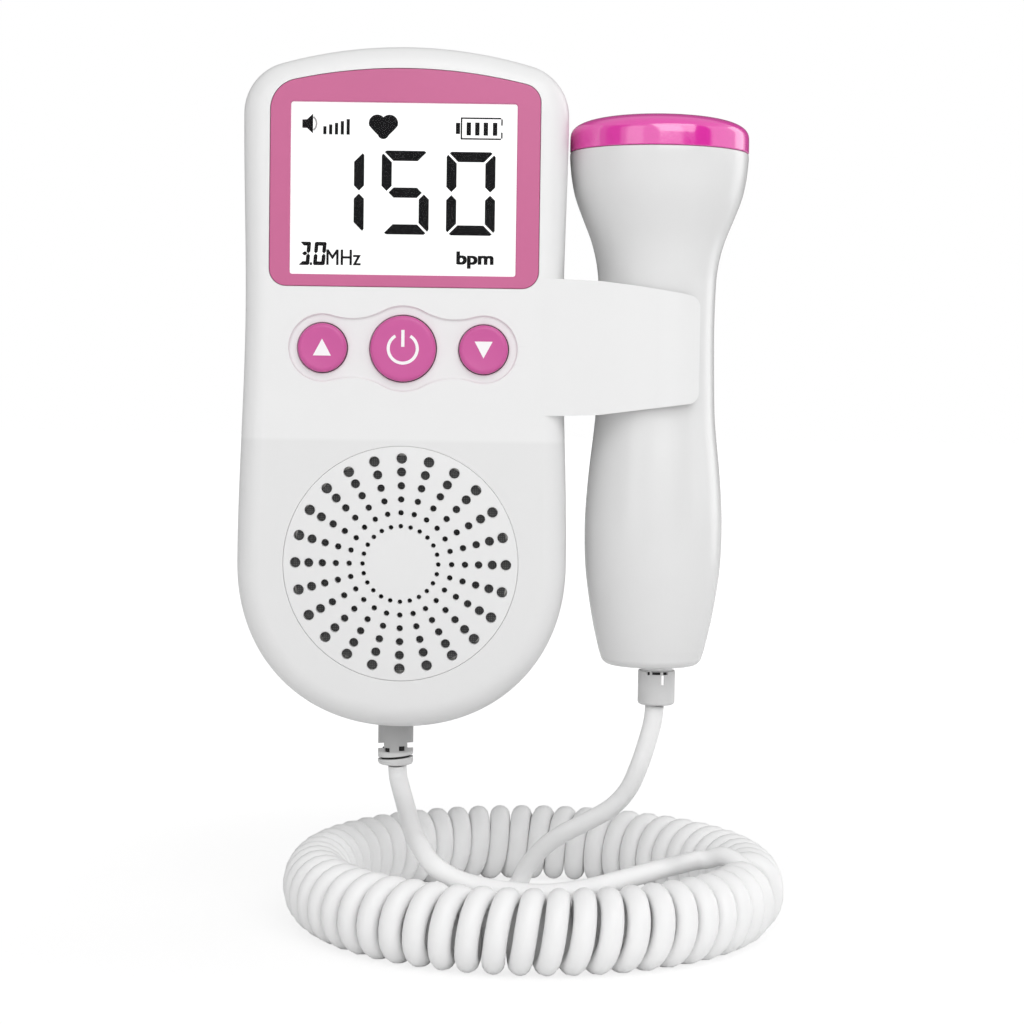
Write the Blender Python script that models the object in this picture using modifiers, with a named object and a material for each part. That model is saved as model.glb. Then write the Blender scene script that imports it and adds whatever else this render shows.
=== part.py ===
"""Pocket fetal doppler: a hand unit, a probe in its side clip and the curly cord that joins them.

The unit stands upright with its front facing -Y. Its flat back lies in the plane y = 0, and the
origin is the middle of the flat land on the back, which is where a holder would take it. Heights
are first measured up from the lowest point of the hand unit and then moved by that land's height.
"""
from math import acos, asin, atan2, cos, pi, radians, sin, sqrt

import bmesh
import bpy
from mathutils import Matrix, Vector

# General clearances and overruns
GAP = 0.0003
OVERRUN = 0.004
MERGE = 0.0001
EMBED = 0.0009

# Hand unit body
LAND_HEIGHT = 0.1008
UNIT_HEIGHT = 0.1385
UNIT_DEPTH = 0.032
BOWL_HALF_WIDTH = 0.0337
BOWL_HEIGHT = 0.0338
BOWL_POWER = 2.15
WAIST_HALF_WIDTH = 0.0324
WAIST_HEIGHT = 0.0858
SHOULDER_HALF_WIDTH = 0.0330
SHOULDER_RADIUS = 0.0105
CROWN_RADIUS = 0.092
EDGE_RADIUS = 0.005
WALL = 0.0022
SEAM_DEPTH = 0.017

# Display
BEZEL_HALF_WIDTH = 0.0272
BEZEL_HEIGHT = 0.0435
BEZEL_TOP_MARGIN = 0.0052
BEZEL_CROWN_RADIUS = 0.104
BEZEL_TOP_CORNER = 0.0058
BEZEL_BOTTOM_CORNER = 0.0034
BEZEL_THICKNESS = 0.0011
BEZEL_SEAT_DEPTH = 0.0014
VIEW_HALF_WIDTH = 0.0228
VIEW_FOOT_BORDER = 0.0024
VIEW_TOP_BORDER = 0.0065
VIEW_CORNER = 0.0008
LENS_LAP = 0.0010
LENS_THICKNESS = 0.0010
PANEL_MARGIN = 0.0014
PANEL_THICKNESS = 0.0018
LIGHT_THICKNESS = 0.0026

# Keys and switches
KEY_DROP = 0.0124
KEY_SPACING = 0.0163
POWER_KEY_RADIUS = 0.00665
SIDE_KEY_RADIUS = 0.00495
KEY_PROUD = 0.0010
KEY_EDGE = 0.0007
KEY_FLANGE = 0.0010
KEY_FLANGE_THICKNESS = 0.0007
KEY_TRAVEL = 0.0006
STEM_RADIUS = 0.0016
STEM_LENGTH = 0.0015
SWITCH_HALF_WIDTH = 0.0031
SWITCH_THICKNESS = 0.0032
LOBE_DEPTH = 0.0006
POWER_LOBE_RADIUS = 0.0086
SIDE_LOBE_RADIUS = 0.0068
LOBE_FILLET_RADIUS = 0.0130

# Main board
BOARD_HALF_WIDTH = 0.0243
BOARD_BELOW_KEYS = 0.0128
BOARD_ABOVE_VIEW = 0.0047
BOARD_THICKNESS = 0.0016
CHIP_HALF_WIDTH = 0.0050
CHIP_THICKNESS = 0.0012
CHIP_RISE = 0.022

# Speaker and grille
SPEAKER_HEIGHT = 0.0338
GRILLE_RADIUS = 0.0239
GRILLE_FLANGE = 0.0017
GRILLE_FLANGE_THICKNESS = 0.0008
GRILLE_PLATE = 0.0016
GRILLE_SPOKES = 24
GRILLE_RING_RADII = [0.00768, 0.0104, 0.0131, 0.01586, 0.01864, 0.0214]
GRILLE_HOLE_RADII = [0.00047, 0.00056, 0.00065, 0.00077, 0.00093, 0.00108]
CLOTH_THICKNESS = 0.0004
FRAME_DEPTH = 0.0072
FRAME_WALL = 0.0009
FRAME_BACK_RADIUS = 0.0135
MAGNET_RADIUS = 0.0100
MAGNET_THICKNESS = 0.0019
CONE_WALL = 0.0005
CONE_DEPTH = 0.0040
DUST_CAP_RADIUS = 0.0055

# Battery tub, cells, contacts and door
CELL_RADIUS = 0.00725
CELL_LENGTH = 0.0505
CELL_SPACING = 0.0075
NUB_RADIUS = 0.0026
NUB_LENGTH = 0.0011
CONTACT_THICKNESS = 0.0005
CONTACT_MARGIN = 0.0008
SPRING_LENGTH = 0.0038
SPRING_RADIUS = 0.0034
SPRING_WIRE = 0.0006
SPRING_TURNS = 3
TUB_BOTTOM = 0.0158
TUB_SIDE_WALL = 0.0034
TUB_FLOOR_WALL = 0.0015
TUB_END_WALL = 0.0016
DOOR_LEDGE = 0.0014
DOOR_THICKNESS = 0.0020
DOOR_CORNER = 0.0018
HINGE_RADIUS = 0.0014
PIN_RADIUS = 0.0007
PIN_LENGTH = 0.0012
NOTCH_RADIUS = 0.0060
NOTCH_DEPTH = 0.0012

# Case screws and bosses
SCREW_SPACING = 0.0274
LOWER_SCREW_HEIGHT = 0.0608
UPPER_SCREW_DROP = 0.019
BOSS_RADIUS = 0.0025
REAR_BOSS_RADIUS = 0.0034
SCREW_HEAD_RADIUS = 0.0020
SCREW_HEAD_THICKNESS = 0.0016
SCREW_SHANK_RADIUS = 0.0011
SCREW_SEAT_DEPTH = 0.0115
SCREW_LENGTH = 0.0125
DRIVE_SLOT_LENGTH = 0.0024
DRIVE_SLOT_WIDTH = 0.0006
DRIVE_SLOT_DEPTH = 0.0008

# Probe handle, with its radii as shares of its face and their places as shares of its length
PROBE_CLEARANCE = 0.0005
PROBE_WALL = 0.0018
PROBE_FOOT = 0.0125
PROBE_LENGTH = 0.1061
PROBE_SECTION_SHARES = [
    (0.997, 1.0000), (0.998, 0.9860), (0.975, 0.9485), (0.930, 0.9129),
    (0.846, 0.8736), (0.758, 0.8352), (0.702, 0.8015), (0.671, 0.7706),
    (0.658, 0.7397), (0.648, 0.6554), (0.663, 0.5225), (0.680, 0.4682),
    (0.723, 0.3998), (0.756, 0.3352), (0.772, 0.2715), (0.761, 0.2004),
    (0.721, 0.1404), (0.662, 0.0805), (0.596, 0.0300), (0.536, 0.0075),
    (0.446, 0.0000),
]
FACE_RADIUS = 0.0185
FACE_SIDE = 0.0025
FACE_DOME = 0.0049
DOME_POWER = 2.9
DOME_SHOULDER_SHARES = [0.25, 0.50, 0.72, 0.87, 0.96]
FACE_SPIGOT_STEP = 0.0023
FACE_SPIGOT_LENGTH = 0.0026
FACE_SPIGOT_WALL = 0.0013
FACE_SKIN = 0.0036
CRYSTAL_MARGIN = 0.0011
CRYSTAL_THICKNESS = 0.0008
CRYSTAL_SPLIT = 0.0008
BACKING_THICKNESS = 0.0050
PROBE_BOARD_RISE = 0.0370
PROBE_BOARD_LENGTH = 0.0425
PROBE_BOARD_THICKNESS = 0.0010

# Probe clip
CLIP_THICKNESS = 0.0020
CLIP_CLEARANCE = 0.0003
FRONT_TIP_ANGLE = radians(-55)
REAR_TIP_ANGLE = radians(112)
ARM_START = 0.0290
ARM_PROUD = 0.00078
FRONT_PLATE_THICKNESS = 0.0020
REAR_PLATE_SHARE = 0.823
REAR_PLATE_THICKNESS = 0.0022
ARM_FOOT = 0.0631
ARM_HEIGHT = 0.0286
ARM_TIP_TAPER = 0.0034
ARM_CORNER = 0.0018

# Strain reliefs
CORD_RADIUS = 0.00195
UNIT_GLAND_RADIUS = 0.00363
UNIT_GLAND_LENGTH = 0.0089
PROBE_GLAND_RADIUS = 0.0037
PROBE_GLAND_LENGTH = 0.0073
GLAND_Y = -0.0165
GLAND_X = -0.0013
GLAND_NECK = 0.0006
GLAND_FLANGE = 0.0014
GLAND_FLANGE_THICKNESS = 0.0016
GLAND_TAPER = 0.0008
GLAND_GROOVE = 0.0004
GLAND_GROOVE_HEIGHT = 0.0007
GLAND_GROOVE_SHARE = 0.72
GLAND_SLOT_HEIGHT = 0.0011
GLAND_SLOT_SHARE = 0.45
GLAND_BRIDGE = 0.0012

# Curly cord, lying in a ring below the unit
RING_X = 0.0280
RING_Y = -0.0200
RING_HEIGHT = -0.0336
RING_RADIUS = 0.0450
CURL_RADIUS = 0.0050
CURL_HALF_HEIGHT = 0.00615
CURLS = 56.5
CURL_POINTS = 8
RING_START = radians(-27)
CURL_STEP = radians(6.3)
LEAD_HEADING = radians(-8)
LEAD_DROP = radians(32)
TAIL_POINT_SPACING = 0.0078

# Numbers of sides and steps
ROUND_STEPS = 20
WIDE_STEPS = 32
INNER_STEPS = 14
SMALL_STEPS = 10
TINY_STEPS = 8
GRILLE_HOLE_SIDES = [4, 4, 4, 4, 5, 5]
BOWL_STEPS = 10
FLANK_STEPS = 3
CORNER_STEPS = 4
CROWN_STEPS = 3
EDGE_RESOLUTION = 2
HOLLOW_RESOLUTION = 0
ARC_STEP = radians(15)
CORNER_STEP = radians(30)
CURL_SIDES_RESOLUTION = 1
TAIL_SIDES_RESOLUTION = 2
FLAT_ANGLE = radians(0.5)

# Worked-out levels and sizes
BEZEL_TOP = UNIT_HEIGHT - BEZEL_TOP_MARGIN
BEZEL_BOTTOM = BEZEL_TOP - BEZEL_HEIGHT
VIEW_BOTTOM = BEZEL_BOTTOM + VIEW_FOOT_BORDER
VIEW_TOP = BEZEL_TOP - VIEW_TOP_BORDER
KEY_HEIGHT = BEZEL_BOTTOM - KEY_DROP
BOARD_BOTTOM = KEY_HEIGHT - BOARD_BELOW_KEYS
BOARD_TOP = VIEW_TOP + BOARD_ABOVE_VIEW
SCREW_LEVELS = [LOWER_SCREW_HEIGHT, UNIT_HEIGHT - UPPER_SCREW_DROP]
PROBE_X = SHOULDER_HALF_WIDTH + PROBE_CLEARANCE + FACE_RADIUS
PROBE_TOP = PROBE_FOOT + PROBE_LENGTH
FACE_SPIGOT_RADIUS = FACE_RADIUS - FACE_SPIGOT_STEP
CRYSTAL_RADIUS = FACE_SPIGOT_RADIUS - FACE_SPIGOT_WALL - CRYSTAL_MARGIN
PROBE_BOARD_BOTTOM = PROBE_FOOT + PROBE_BOARD_RISE
PROBE_BOARD_TOP = PROBE_BOARD_BOTTOM + PROBE_BOARD_LENGTH
ARM_TOP = ARM_FOOT + ARM_HEIGHT
ARM_TIP_TOP = ARM_TOP - ARM_TIP_TAPER
ARM_TIP_FOOT = ARM_FOOT + ARM_TIP_TAPER
FRONT_Y = -UNIT_DEPTH
INNER_FRONT_Y = FRONT_Y + WALL
INNER_BACK_Y = -WALL
SEAM_Y = -SEAM_DEPTH
LENS_Y = FRONT_Y + BEZEL_THICKNESS + GAP
PANEL_Y = LENS_Y + LENS_THICKNESS + GAP
LIGHT_Y = PANEL_Y + PANEL_THICKNESS + GAP
BOARD_Y = LIGHT_Y + LIGHT_THICKNESS + GAP
KEY_FLANGE_Y = INNER_FRONT_Y + GAP
STEM_Y = KEY_FLANGE_Y + KEY_FLANGE_THICKNESS + GAP
SWITCH_Y = BOARD_Y - GAP - SWITCH_THICKNESS
CELL_Y = -DOOR_THICKNESS - GAP - CELL_RADIUS
TUB_HALF_WIDTH = CELL_SPACING + CELL_RADIUS + GAP
TUB_FLOOR_Y = CELL_Y - CELL_RADIUS - GAP
TUB_LENGTH = SPRING_LENGTH + CELL_LENGTH + (CONTACT_THICKNESS + GAP) * 2 + GAP * 2
TUB_TOP = TUB_BOTTOM + TUB_LENGTH
DOOR_HALF_WIDTH = TUB_HALF_WIDTH + DOOR_LEDGE
DOOR_TOP = TUB_TOP + DOOR_LEDGE

PARTS = "fetal_doppler"
CUTTERS = "fetal_doppler_cutters"


def probe_sections():
    """Radii and heights of the probe handle's outer side, from the rim down."""
    return [(share * FACE_RADIUS, PROBE_FOOT + along * PROBE_LENGTH)
            for share, along in PROBE_SECTION_SHARES]


def probe_radius(height):
    """Radius of the probe handle at a height, read between its sections."""
    sections = probe_sections()
    for (upper, top), (lower, bottom) in zip(sections, sections[1:]):
        if bottom <= height <= top:
            return lower + (upper - lower) * (height - bottom) / (top - bottom)
    return 0.0


CLIP_INNER = max(probe_radius(ARM_FOOT), probe_radius(ARM_TOP)) + CLIP_CLEARANCE
CLIP_OUTER = CLIP_INNER + CLIP_THICKNESS
PROBE_Y = FRONT_Y - ARM_PROUD + CLIP_OUTER
REAR_PLATE_Y = PROBE_Y + CLIP_OUTER * REAR_PLATE_SHARE


def level(height):
    """World z of a height above the lowest point of the unit."""
    return height - LAND_HEIGHT


def clear_scene():
    for item in list(bpy.data.objects):
        bpy.data.objects.remove(item, do_unlink=True)


def new_collection(name):
    collection = bpy.data.collections.new(name)
    bpy.context.scene.collection.children.link(collection)
    return collection


def material(name, colour, roughness, metallic=0.0):
    found = bpy.data.materials.get(name)
    if found:
        return found
    made = bpy.data.materials.new(name)
    made.use_nodes = True
    shader = made.node_tree.nodes["Principled BSDF"]
    shader.inputs["Base Color"].default_value = (*colour, 1.0)
    shader.inputs["Roughness"].default_value = roughness
    shader.inputs["Metallic"].default_value = metallic
    return made


def mesh_object(name, mesh, collection):
    made = bpy.data.objects.new(name, mesh)
    bpy.data.collections[collection].objects.link(made)
    return made


def as_cutter(item):
    """Keeps a tool body out of the renders and draws it as a wire."""
    item.hide_render = True
    item.display_type = "WIRE"
    return item


def box(name, low, high, collection=CUTTERS):
    """Block between two corners, with its origin at its middle."""
    low = Vector(low)
    high = Vector(high)
    work = bmesh.new()
    bmesh.ops.create_cube(work, size=1.0)
    bmesh.ops.scale(work, vec=high - low, verts=work.verts)
    mesh = bpy.data.meshes.new(name)
    work.to_mesh(mesh)
    work.free()
    made = mesh_object(name, mesh, collection)
    made.location = (low + high) / 2
    return made


def rod(name, start, end, radius, steps=SMALL_STEPS, collection=CUTTERS):
    """Round bar between two points."""
    start = Vector(start)
    end = Vector(end)
    work = bmesh.new()
    bmesh.ops.create_cone(
        work, cap_ends=True, segments=steps, radius1=radius, radius2=radius,
        depth=(end - start).length,
    )
    mesh = bpy.data.meshes.new(name)
    work.to_mesh(mesh)
    work.free()
    made = mesh_object(name, mesh, collection)
    made.location = (start + end) / 2
    made.rotation_euler = (end - start).to_track_quat("Z", "Y").to_euler()
    return made


def joined(name, items, collection=CUTTERS):
    """One mesh object from several that don't touch each other."""
    work = bmesh.new()
    for item in items:
        part = item.data.copy()
        part.transform(item.matrix_basis)
        work.from_mesh(part)
        bpy.data.meshes.remove(part)
        bpy.data.objects.remove(item)
    mesh = bpy.data.meshes.new(name)
    work.to_mesh(mesh)
    work.free()
    return mesh_object(name, mesh, collection)


def curve_to_mesh(curve, collection, weld=MERGE):
    """Replaces a curve object by its mesh, with the loose caps welded on."""
    bpy.context.view_layer.update()
    graph = bpy.context.evaluated_depsgraph_get()
    mesh = bpy.data.meshes.new_from_object(curve.evaluated_get(graph))
    work = bmesh.new()
    work.from_mesh(mesh)
    bmesh.ops.remove_doubles(work, verts=work.verts, dist=weld)
    work.to_mesh(mesh)
    work.free()
    name = curve.name
    placed = curve.matrix_world.copy()
    bpy.data.objects.remove(curve)
    made = mesh_object(name, mesh, collection)
    made.name = name
    made.matrix_world = placed
    return made


def flat_curve(name, outline, thickness, edge, inset, collection, resolution=EDGE_RESOLUTION):
    """A closed 2D curve, filled and thickened along its own Z, with rounded rims."""
    data = bpy.data.curves.new(name, "CURVE")
    data.dimensions = "2D"
    data.fill_mode = "BOTH"
    data.resolution_u = 1
    data.render_resolution_u = 0
    data.extrude = thickness / 2 - edge
    data.bevel_depth = edge
    data.bevel_resolution = resolution
    data.offset = -inset - edge
    spline = data.splines.new("POLY")
    spline.points.add(len(outline) - 1)
    for point, (across, up) in zip(spline.points, outline):
        point.co = (across, up, 0, 1)
    spline.use_cyclic_u = True
    made = bpy.data.objects.new(name, data)
    bpy.data.collections[collection].objects.link(made)
    return made


def face_slab(name, outline, front, back, collection=CUTTERS, edge=0.0, inset=0.0,
              resolution=EDGE_RESOLUTION):
    """Slab with an outline in (x, height), lying between two depths along Y."""
    curve = flat_curve(name, outline, back - front, edge, inset, collection, resolution)
    curve.rotation_euler = (pi / 2, 0, 0)
    curve.location = (0, (front + back) / 2, level(0))
    return curve_to_mesh(curve, collection)


def plan_slab(name, outline, low, high, collection=CUTTERS):
    """Slab with an outline in (x, y), lying between two heights."""
    curve = flat_curve(name, outline, high - low, 0, 0, collection)
    curve.location = (0, 0, level((low + high) / 2))
    return curve_to_mesh(curve, collection)


def turned(name, profile, steps, collection=PARTS):
    """Solid of revolution about its own Z; the profile runs down the outer side, top to bottom."""
    mesh = bpy.data.meshes.new(name)
    mesh.from_pydata(
        [(radius, 0, along) for radius, along in profile],
        [(index, index + 1) for index in range(len(profile) - 1)],
        [],
    )
    made = mesh_object(name, mesh, collection)
    screw = made.modifiers.new("turn", "SCREW")
    screw.axis = "Z"
    screw.steps = steps
    screw.render_steps = steps
    screw.use_merge_vertices = True
    screw.merge_threshold = MERGE
    screw.use_smooth_shade = True
    return made


def along_depth(item, x, y, height):
    """Places a turned piece with its own Z along world +Y."""
    item.rotation_euler = (-pi / 2, 0, 0)
    item.location = (x, y, level(height))
    return item


def upright(item, x, y, height=0.0):
    item.location = (x, y, level(height))
    return item


def merge_flat_faces(item):
    """Merges the coplanar faces that a turned disc or a cut leaves."""
    step = item.modifiers.new("flat_faces", "DECIMATE")
    step.decimate_type = "DISSOLVE"
    step.angle_limit = FLAT_ANGLE
    return item


def boolean(item, tool, operation="DIFFERENCE"):
    """Adds a cut or a join, with the tool body kept among the cutters."""
    step = item.modifiers.new(tool.name, "BOOLEAN")
    step.operation = operation
    step.solver = "EXACT"
    step.object = as_cutter(tool)
    return item


def finish(item, made_of, sharp=radians(35)):
    """Gives a piece its material and smooth shading between its sharp edges."""
    item.data.materials.clear()
    item.data.materials.append(made_of)
    if item.type == "MESH":
        item.data.shade_smooth()
        item.data.set_sharp_from_angle(angle=sharp)
    return item


def arc(centre, radius, start, end, include_end=True):
    """Points on an arc about a centre, closer together on all but the small corners."""
    step = ARC_STEP if radius > EDGE_RADIUS / 2 else CORNER_STEP
    steps = max(2, round(abs(end - start) / step))
    count = steps + 1 if include_end else steps
    points = []
    for index in range(count):
        angle = start + (end - start) * index / steps
        points.append((centre[0] + radius * cos(angle), centre[1] + radius * sin(angle)))
    return points


def smooth_share(share):
    return share * share * (3 - share * 2)


def unit_outline():
    """Front view of the hand unit: a full round bowl, waisted flanks, round shoulders and a crown."""
    crown_centre = UNIT_HEIGHT - CROWN_RADIUS
    shoulder_x = SHOULDER_HALF_WIDTH - SHOULDER_RADIUS
    shoulder_height = crown_centre + sqrt((CROWN_RADIUS - SHOULDER_RADIUS) ** 2 - shoulder_x ** 2)
    tangent = atan2(shoulder_height - crown_centre, shoulder_x)
    right = []
    for index in range(BOWL_STEPS):
        angle = pi / 2 * index / BOWL_STEPS
        right.append((BOWL_HALF_WIDTH * sin(angle) ** (2 / BOWL_POWER),
                      BOWL_HEIGHT - BOWL_HEIGHT * cos(angle) ** (2 / BOWL_POWER)))
    flanks = [
        (BOWL_HALF_WIDTH, BOWL_HEIGHT, WAIST_HALF_WIDTH, WAIST_HEIGHT),
        (WAIST_HALF_WIDTH, WAIST_HEIGHT, SHOULDER_HALF_WIDTH, shoulder_height),
    ]
    for low_width, low, high_width, high in flanks:
        for index in range(FLANK_STEPS):
            share = index / FLANK_STEPS
            width = low_width + (high_width - low_width) * smooth_share(share)
            right.append((width, low + (high - low) * share))
    for index in range(CORNER_STEPS):
        angle = tangent * index / CORNER_STEPS
        right.append((shoulder_x + SHOULDER_RADIUS * cos(angle),
                      shoulder_height + SHOULDER_RADIUS * sin(angle)))
    for index in range(CROWN_STEPS + 1):
        angle = tangent + (pi / 2 - tangent) * index / CROWN_STEPS
        right.append((CROWN_RADIUS * cos(angle), crown_centre + CROWN_RADIUS * sin(angle)))
    left = [(-x, height) for x, height in reversed(right[1:-1])]
    return right + left


def rounded_box(half_width, bottom, top, corner):
    """Upright rectangle with four round corners."""
    x = half_width - corner
    low = bottom + corner
    high = top - corner
    return (arc((x, low), corner, -pi / 2, 0) + arc((x, high), corner, 0, pi / 2)
            + arc((-x, high), corner, pi / 2, pi) + arc((-x, low), corner, pi, pi * 3 / 2))


def arched_box(grow=0.0):
    """Outline of the display bezel: straight sides and foot under an arched top."""
    half = BEZEL_HALF_WIDTH + grow
    top_corner = BEZEL_TOP_CORNER + grow
    foot_corner = BEZEL_BOTTOM_CORNER + grow
    crown = BEZEL_CROWN_RADIUS + grow
    centre = BEZEL_TOP + grow - crown
    corner_x = half - top_corner
    corner_height = centre + sqrt((crown - top_corner) ** 2 - corner_x ** 2)
    tangent = atan2(corner_height - centre, corner_x)
    low = BEZEL_BOTTOM - grow + foot_corner
    right = arc((half - foot_corner, low), foot_corner, -pi / 2, 0)
    right += arc((corner_x, corner_height), top_corner, 0, tangent, include_end=False)
    for index in range(CROWN_STEPS + 1):
        angle = tangent + (pi / 2 - tangent) * index / CROWN_STEPS
        right.append((crown * cos(angle), centre + crown * sin(angle)))
    left = [(-x, height) for x, height in reversed(right[:-1])]
    return right + left


def lobed_outline():
    """Recess round the three keys: a large middle lobe and two small ones, with hollow fillets."""
    reach = POWER_LOBE_RADIUS + LOBE_FILLET_RADIUS
    side_reach = SIDE_LOBE_RADIUS + LOBE_FILLET_RADIUS
    fillet_x = (reach ** 2 - side_reach ** 2 + KEY_SPACING ** 2) / (KEY_SPACING * 2)
    fillet_z = sqrt(reach ** 2 - fillet_x ** 2)
    from_middle = atan2(fillet_z, fillet_x)
    from_side = atan2(fillet_z, fillet_x - KEY_SPACING)
    quarter = arc((KEY_SPACING, 0), SIDE_LOBE_RADIUS, 0, from_side)
    quarter += arc((fillet_x, fillet_z), LOBE_FILLET_RADIUS, from_side - pi, from_middle - pi)[1:]
    quarter += arc((0, 0), POWER_LOBE_RADIUS, from_middle, pi / 2)[1:]
    upper = quarter + [(-x, z) for x, z in reversed(quarter[:-1])]
    lower = [(x, -z) for x, z in reversed(upper[1:-1])]
    return [(x, KEY_HEIGHT + z) for x, z in upper + lower]


def arm_profile():
    """Front view of the clip arms: a band that narrows towards its round-cornered tip."""
    tip = PROBE_X + CLIP_OUTER
    foot = (ARM_TIP_FOOT, ARM_FOOT)
    top = (ARM_TIP_TOP, ARM_TOP)
    points = [(ARM_START - OVERRUN, foot[1])]
    points += arc((tip - ARM_CORNER, foot[0] + ARM_CORNER), ARM_CORNER, -pi / 2, 0)
    points += arc((tip - ARM_CORNER, top[0] - ARM_CORNER), ARM_CORNER, 0, pi / 2)
    points.append((ARM_START - OVERRUN, top[1]))
    return points


def clip_tip(angle, start):
    """Round end of the clip's wall at an angle about the probe, drawn over half a turn from start."""
    middle = (CLIP_INNER + CLIP_OUTER) / 2
    centre = (PROBE_X + middle * cos(angle), PROBE_Y + middle * sin(angle))
    return arc(centre, CLIP_THICKNESS / 2, start, start + pi)[1:-1]


def front_arm_plan():
    """Plan of the front arm: a plate off the unit's face that runs into the front of the C."""
    centre = (PROBE_X, PROBE_Y)
    seam = SEAM_Y - GAP / 2
    face = PROBE_Y - CLIP_OUTER
    back = face + FRONT_PLATE_THICKNESS
    inner_seam = pi - asin((seam - PROBE_Y) / CLIP_INNER)
    outer_seam = pi - asin((seam - PROBE_Y) / CLIP_OUTER)
    joint = -acos((PROBE_Y - back) / CLIP_OUTER) - pi / 2
    points = [(ARM_START, face)]
    points += arc(centre, CLIP_OUTER, -pi / 2, FRONT_TIP_ANGLE)
    points += clip_tip(FRONT_TIP_ANGLE, FRONT_TIP_ANGLE)
    points += arc(centre, CLIP_INNER, FRONT_TIP_ANGLE, inner_seam - pi * 2)
    points += arc(centre, CLIP_OUTER, outer_seam - pi * 2, joint)
    points.append((ARM_START, back))
    return points


def rear_arm_plan():
    """Plan of the rear arm: a plate off the unit's flank that runs into the rear of the C."""
    centre = (PROBE_X, PROBE_Y)
    seam = SEAM_Y + GAP / 2
    face = REAR_PLATE_Y
    front = face - REAR_PLATE_THICKNESS
    inner_seam = pi - asin((seam - PROBE_Y) / CLIP_INNER)
    outer_seam = pi - asin((seam - PROBE_Y) / CLIP_OUTER)
    high = pi - asin((face - PROBE_Y) / CLIP_OUTER)
    low = pi - asin((front - PROBE_Y) / CLIP_OUTER)
    points = [(ARM_START, front)]
    points += arc(centre, CLIP_OUTER, low, outer_seam)
    points += arc(centre, CLIP_INNER, inner_seam, REAR_TIP_ANGLE)
    points += clip_tip(REAR_TIP_ANGLE, REAR_TIP_ANGLE + pi)
    points += arc(centre, CLIP_OUTER, REAR_TIP_ANGLE, high)
    points.append((ARM_START, face))
    return points


def clip_arm(name, plan, start, end):
    """Plan shape of an arm, trimmed to the band's front view."""
    arm = plan_slab(name, plan, ARM_FOOT - OVERRUN, ARM_TOP + OVERRUN)
    trim = face_slab(name + "_trim", arm_profile(), start - OVERRUN, end + OVERRUN)
    boolean(arm, trim, "INTERSECT")
    return baked(arm)


def baked(item):
    """Applies an object's modifiers to its mesh."""
    bpy.context.view_layer.update()
    graph = bpy.context.evaluated_depsgraph_get()
    mesh = bpy.data.meshes.new_from_object(item.evaluated_get(graph))
    item.modifiers.clear()
    item.data = mesh
    return item


def screw_places():
    return [(side * SCREW_SPACING, height) for height in SCREW_LEVELS for side in (-1, 1)]


def key_list():
    return [
        ("up", -KEY_SPACING, SIDE_KEY_RADIUS),
        ("power", 0.0, POWER_KEY_RADIUS),
        ("down", KEY_SPACING, SIDE_KEY_RADIUS),
    ]


def shell_body(name, front, back):
    """Solid of the unit between two depths, before it is hollowed."""
    shell = face_slab(name, unit_outline(), -UNIT_DEPTH, 0, PARTS, EDGE_RADIUS)
    reach = UNIT_HEIGHT + OVERRUN
    cut_box = box(name + "_split", (-reach, front, level(-OVERRUN)), (reach, back, level(reach)))
    return boolean(shell, cut_box)


def hollow(name):
    """Inside of the unit, one wall in from its surface."""
    inner_edge = EDGE_RADIUS - WALL
    return face_slab(name, unit_outline(), INNER_FRONT_Y, INNER_BACK_Y,
                     edge=inner_edge, inset=WALL, resolution=HOLLOW_RESOLUTION)


def build_front_shell(plastic):
    """White front half with the display seat, the key recess, the grille hole and the front arm."""
    shell = shell_body("front_shell", SEAM_Y - GAP / 2, OVERRUN)
    arm = clip_arm("front_arm", front_arm_plan(), PROBE_Y - CLIP_OUTER, SEAM_Y)
    boolean(shell, arm, "UNION")
    boolean(shell, hollow("front_hollow"))
    bosses = []
    pilots = []
    for x, height in screw_places():
        z = level(height)
        seam = SEAM_Y - GAP / 2
        screw_end = -SCREW_SEAT_DEPTH - SCREW_LENGTH - GAP
        bosses.append(rod("boss", (x, INNER_FRONT_Y - EMBED, z), (x, seam, z), BOSS_RADIUS))
        pilots.append(rod("pilot", (x, screw_end, z), (x, seam + OVERRUN, z),
                          SCREW_SHANK_RADIUS + GAP, TINY_STEPS))
    boolean(shell, joined("front_bosses", bosses), "UNION")
    boolean(shell, joined("front_pilots", pilots))
    out = FRONT_Y - OVERRUN
    seats = [
        face_slab("bezel_seat", arched_box(GAP), out, FRONT_Y + BEZEL_SEAT_DEPTH),
        face_slab("key_recess", lobed_outline(), out, FRONT_Y + LOBE_DEPTH),
        rod("grille_hole", (0, out, level(SPEAKER_HEIGHT)),
            (0, INNER_FRONT_Y + OVERRUN, level(SPEAKER_HEIGHT)), GRILLE_RADIUS + GAP,
            WIDE_STEPS),
    ]
    for seat in seats:
        boolean(shell, seat)
    holes = [face_slab("lens_opening", lens_outline(GAP), out, INNER_FRONT_Y + OVERRUN)]
    for name, x, radius in key_list():
        holes.append(rod(name + "_hole", (x, out, level(KEY_HEIGHT)),
                         (x, INNER_FRONT_Y + OVERRUN, level(KEY_HEIGHT)), radius + GAP, ROUND_STEPS))
    boolean(shell, joined("front_openings", holes))
    boolean(shell, gland_hole("front_gland_hole"))
    return finish(merge_flat_faces(shell), plastic)


def gland_hole(name):
    """Round hole through the foot of the unit for the cord's strain relief."""
    return rod(name, (GLAND_X, GLAND_Y, level(-OVERRUN)), (GLAND_X, GLAND_Y, level(WALL + OVERRUN)),
               UNIT_GLAND_RADIUS - GLAND_NECK + GAP)


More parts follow.
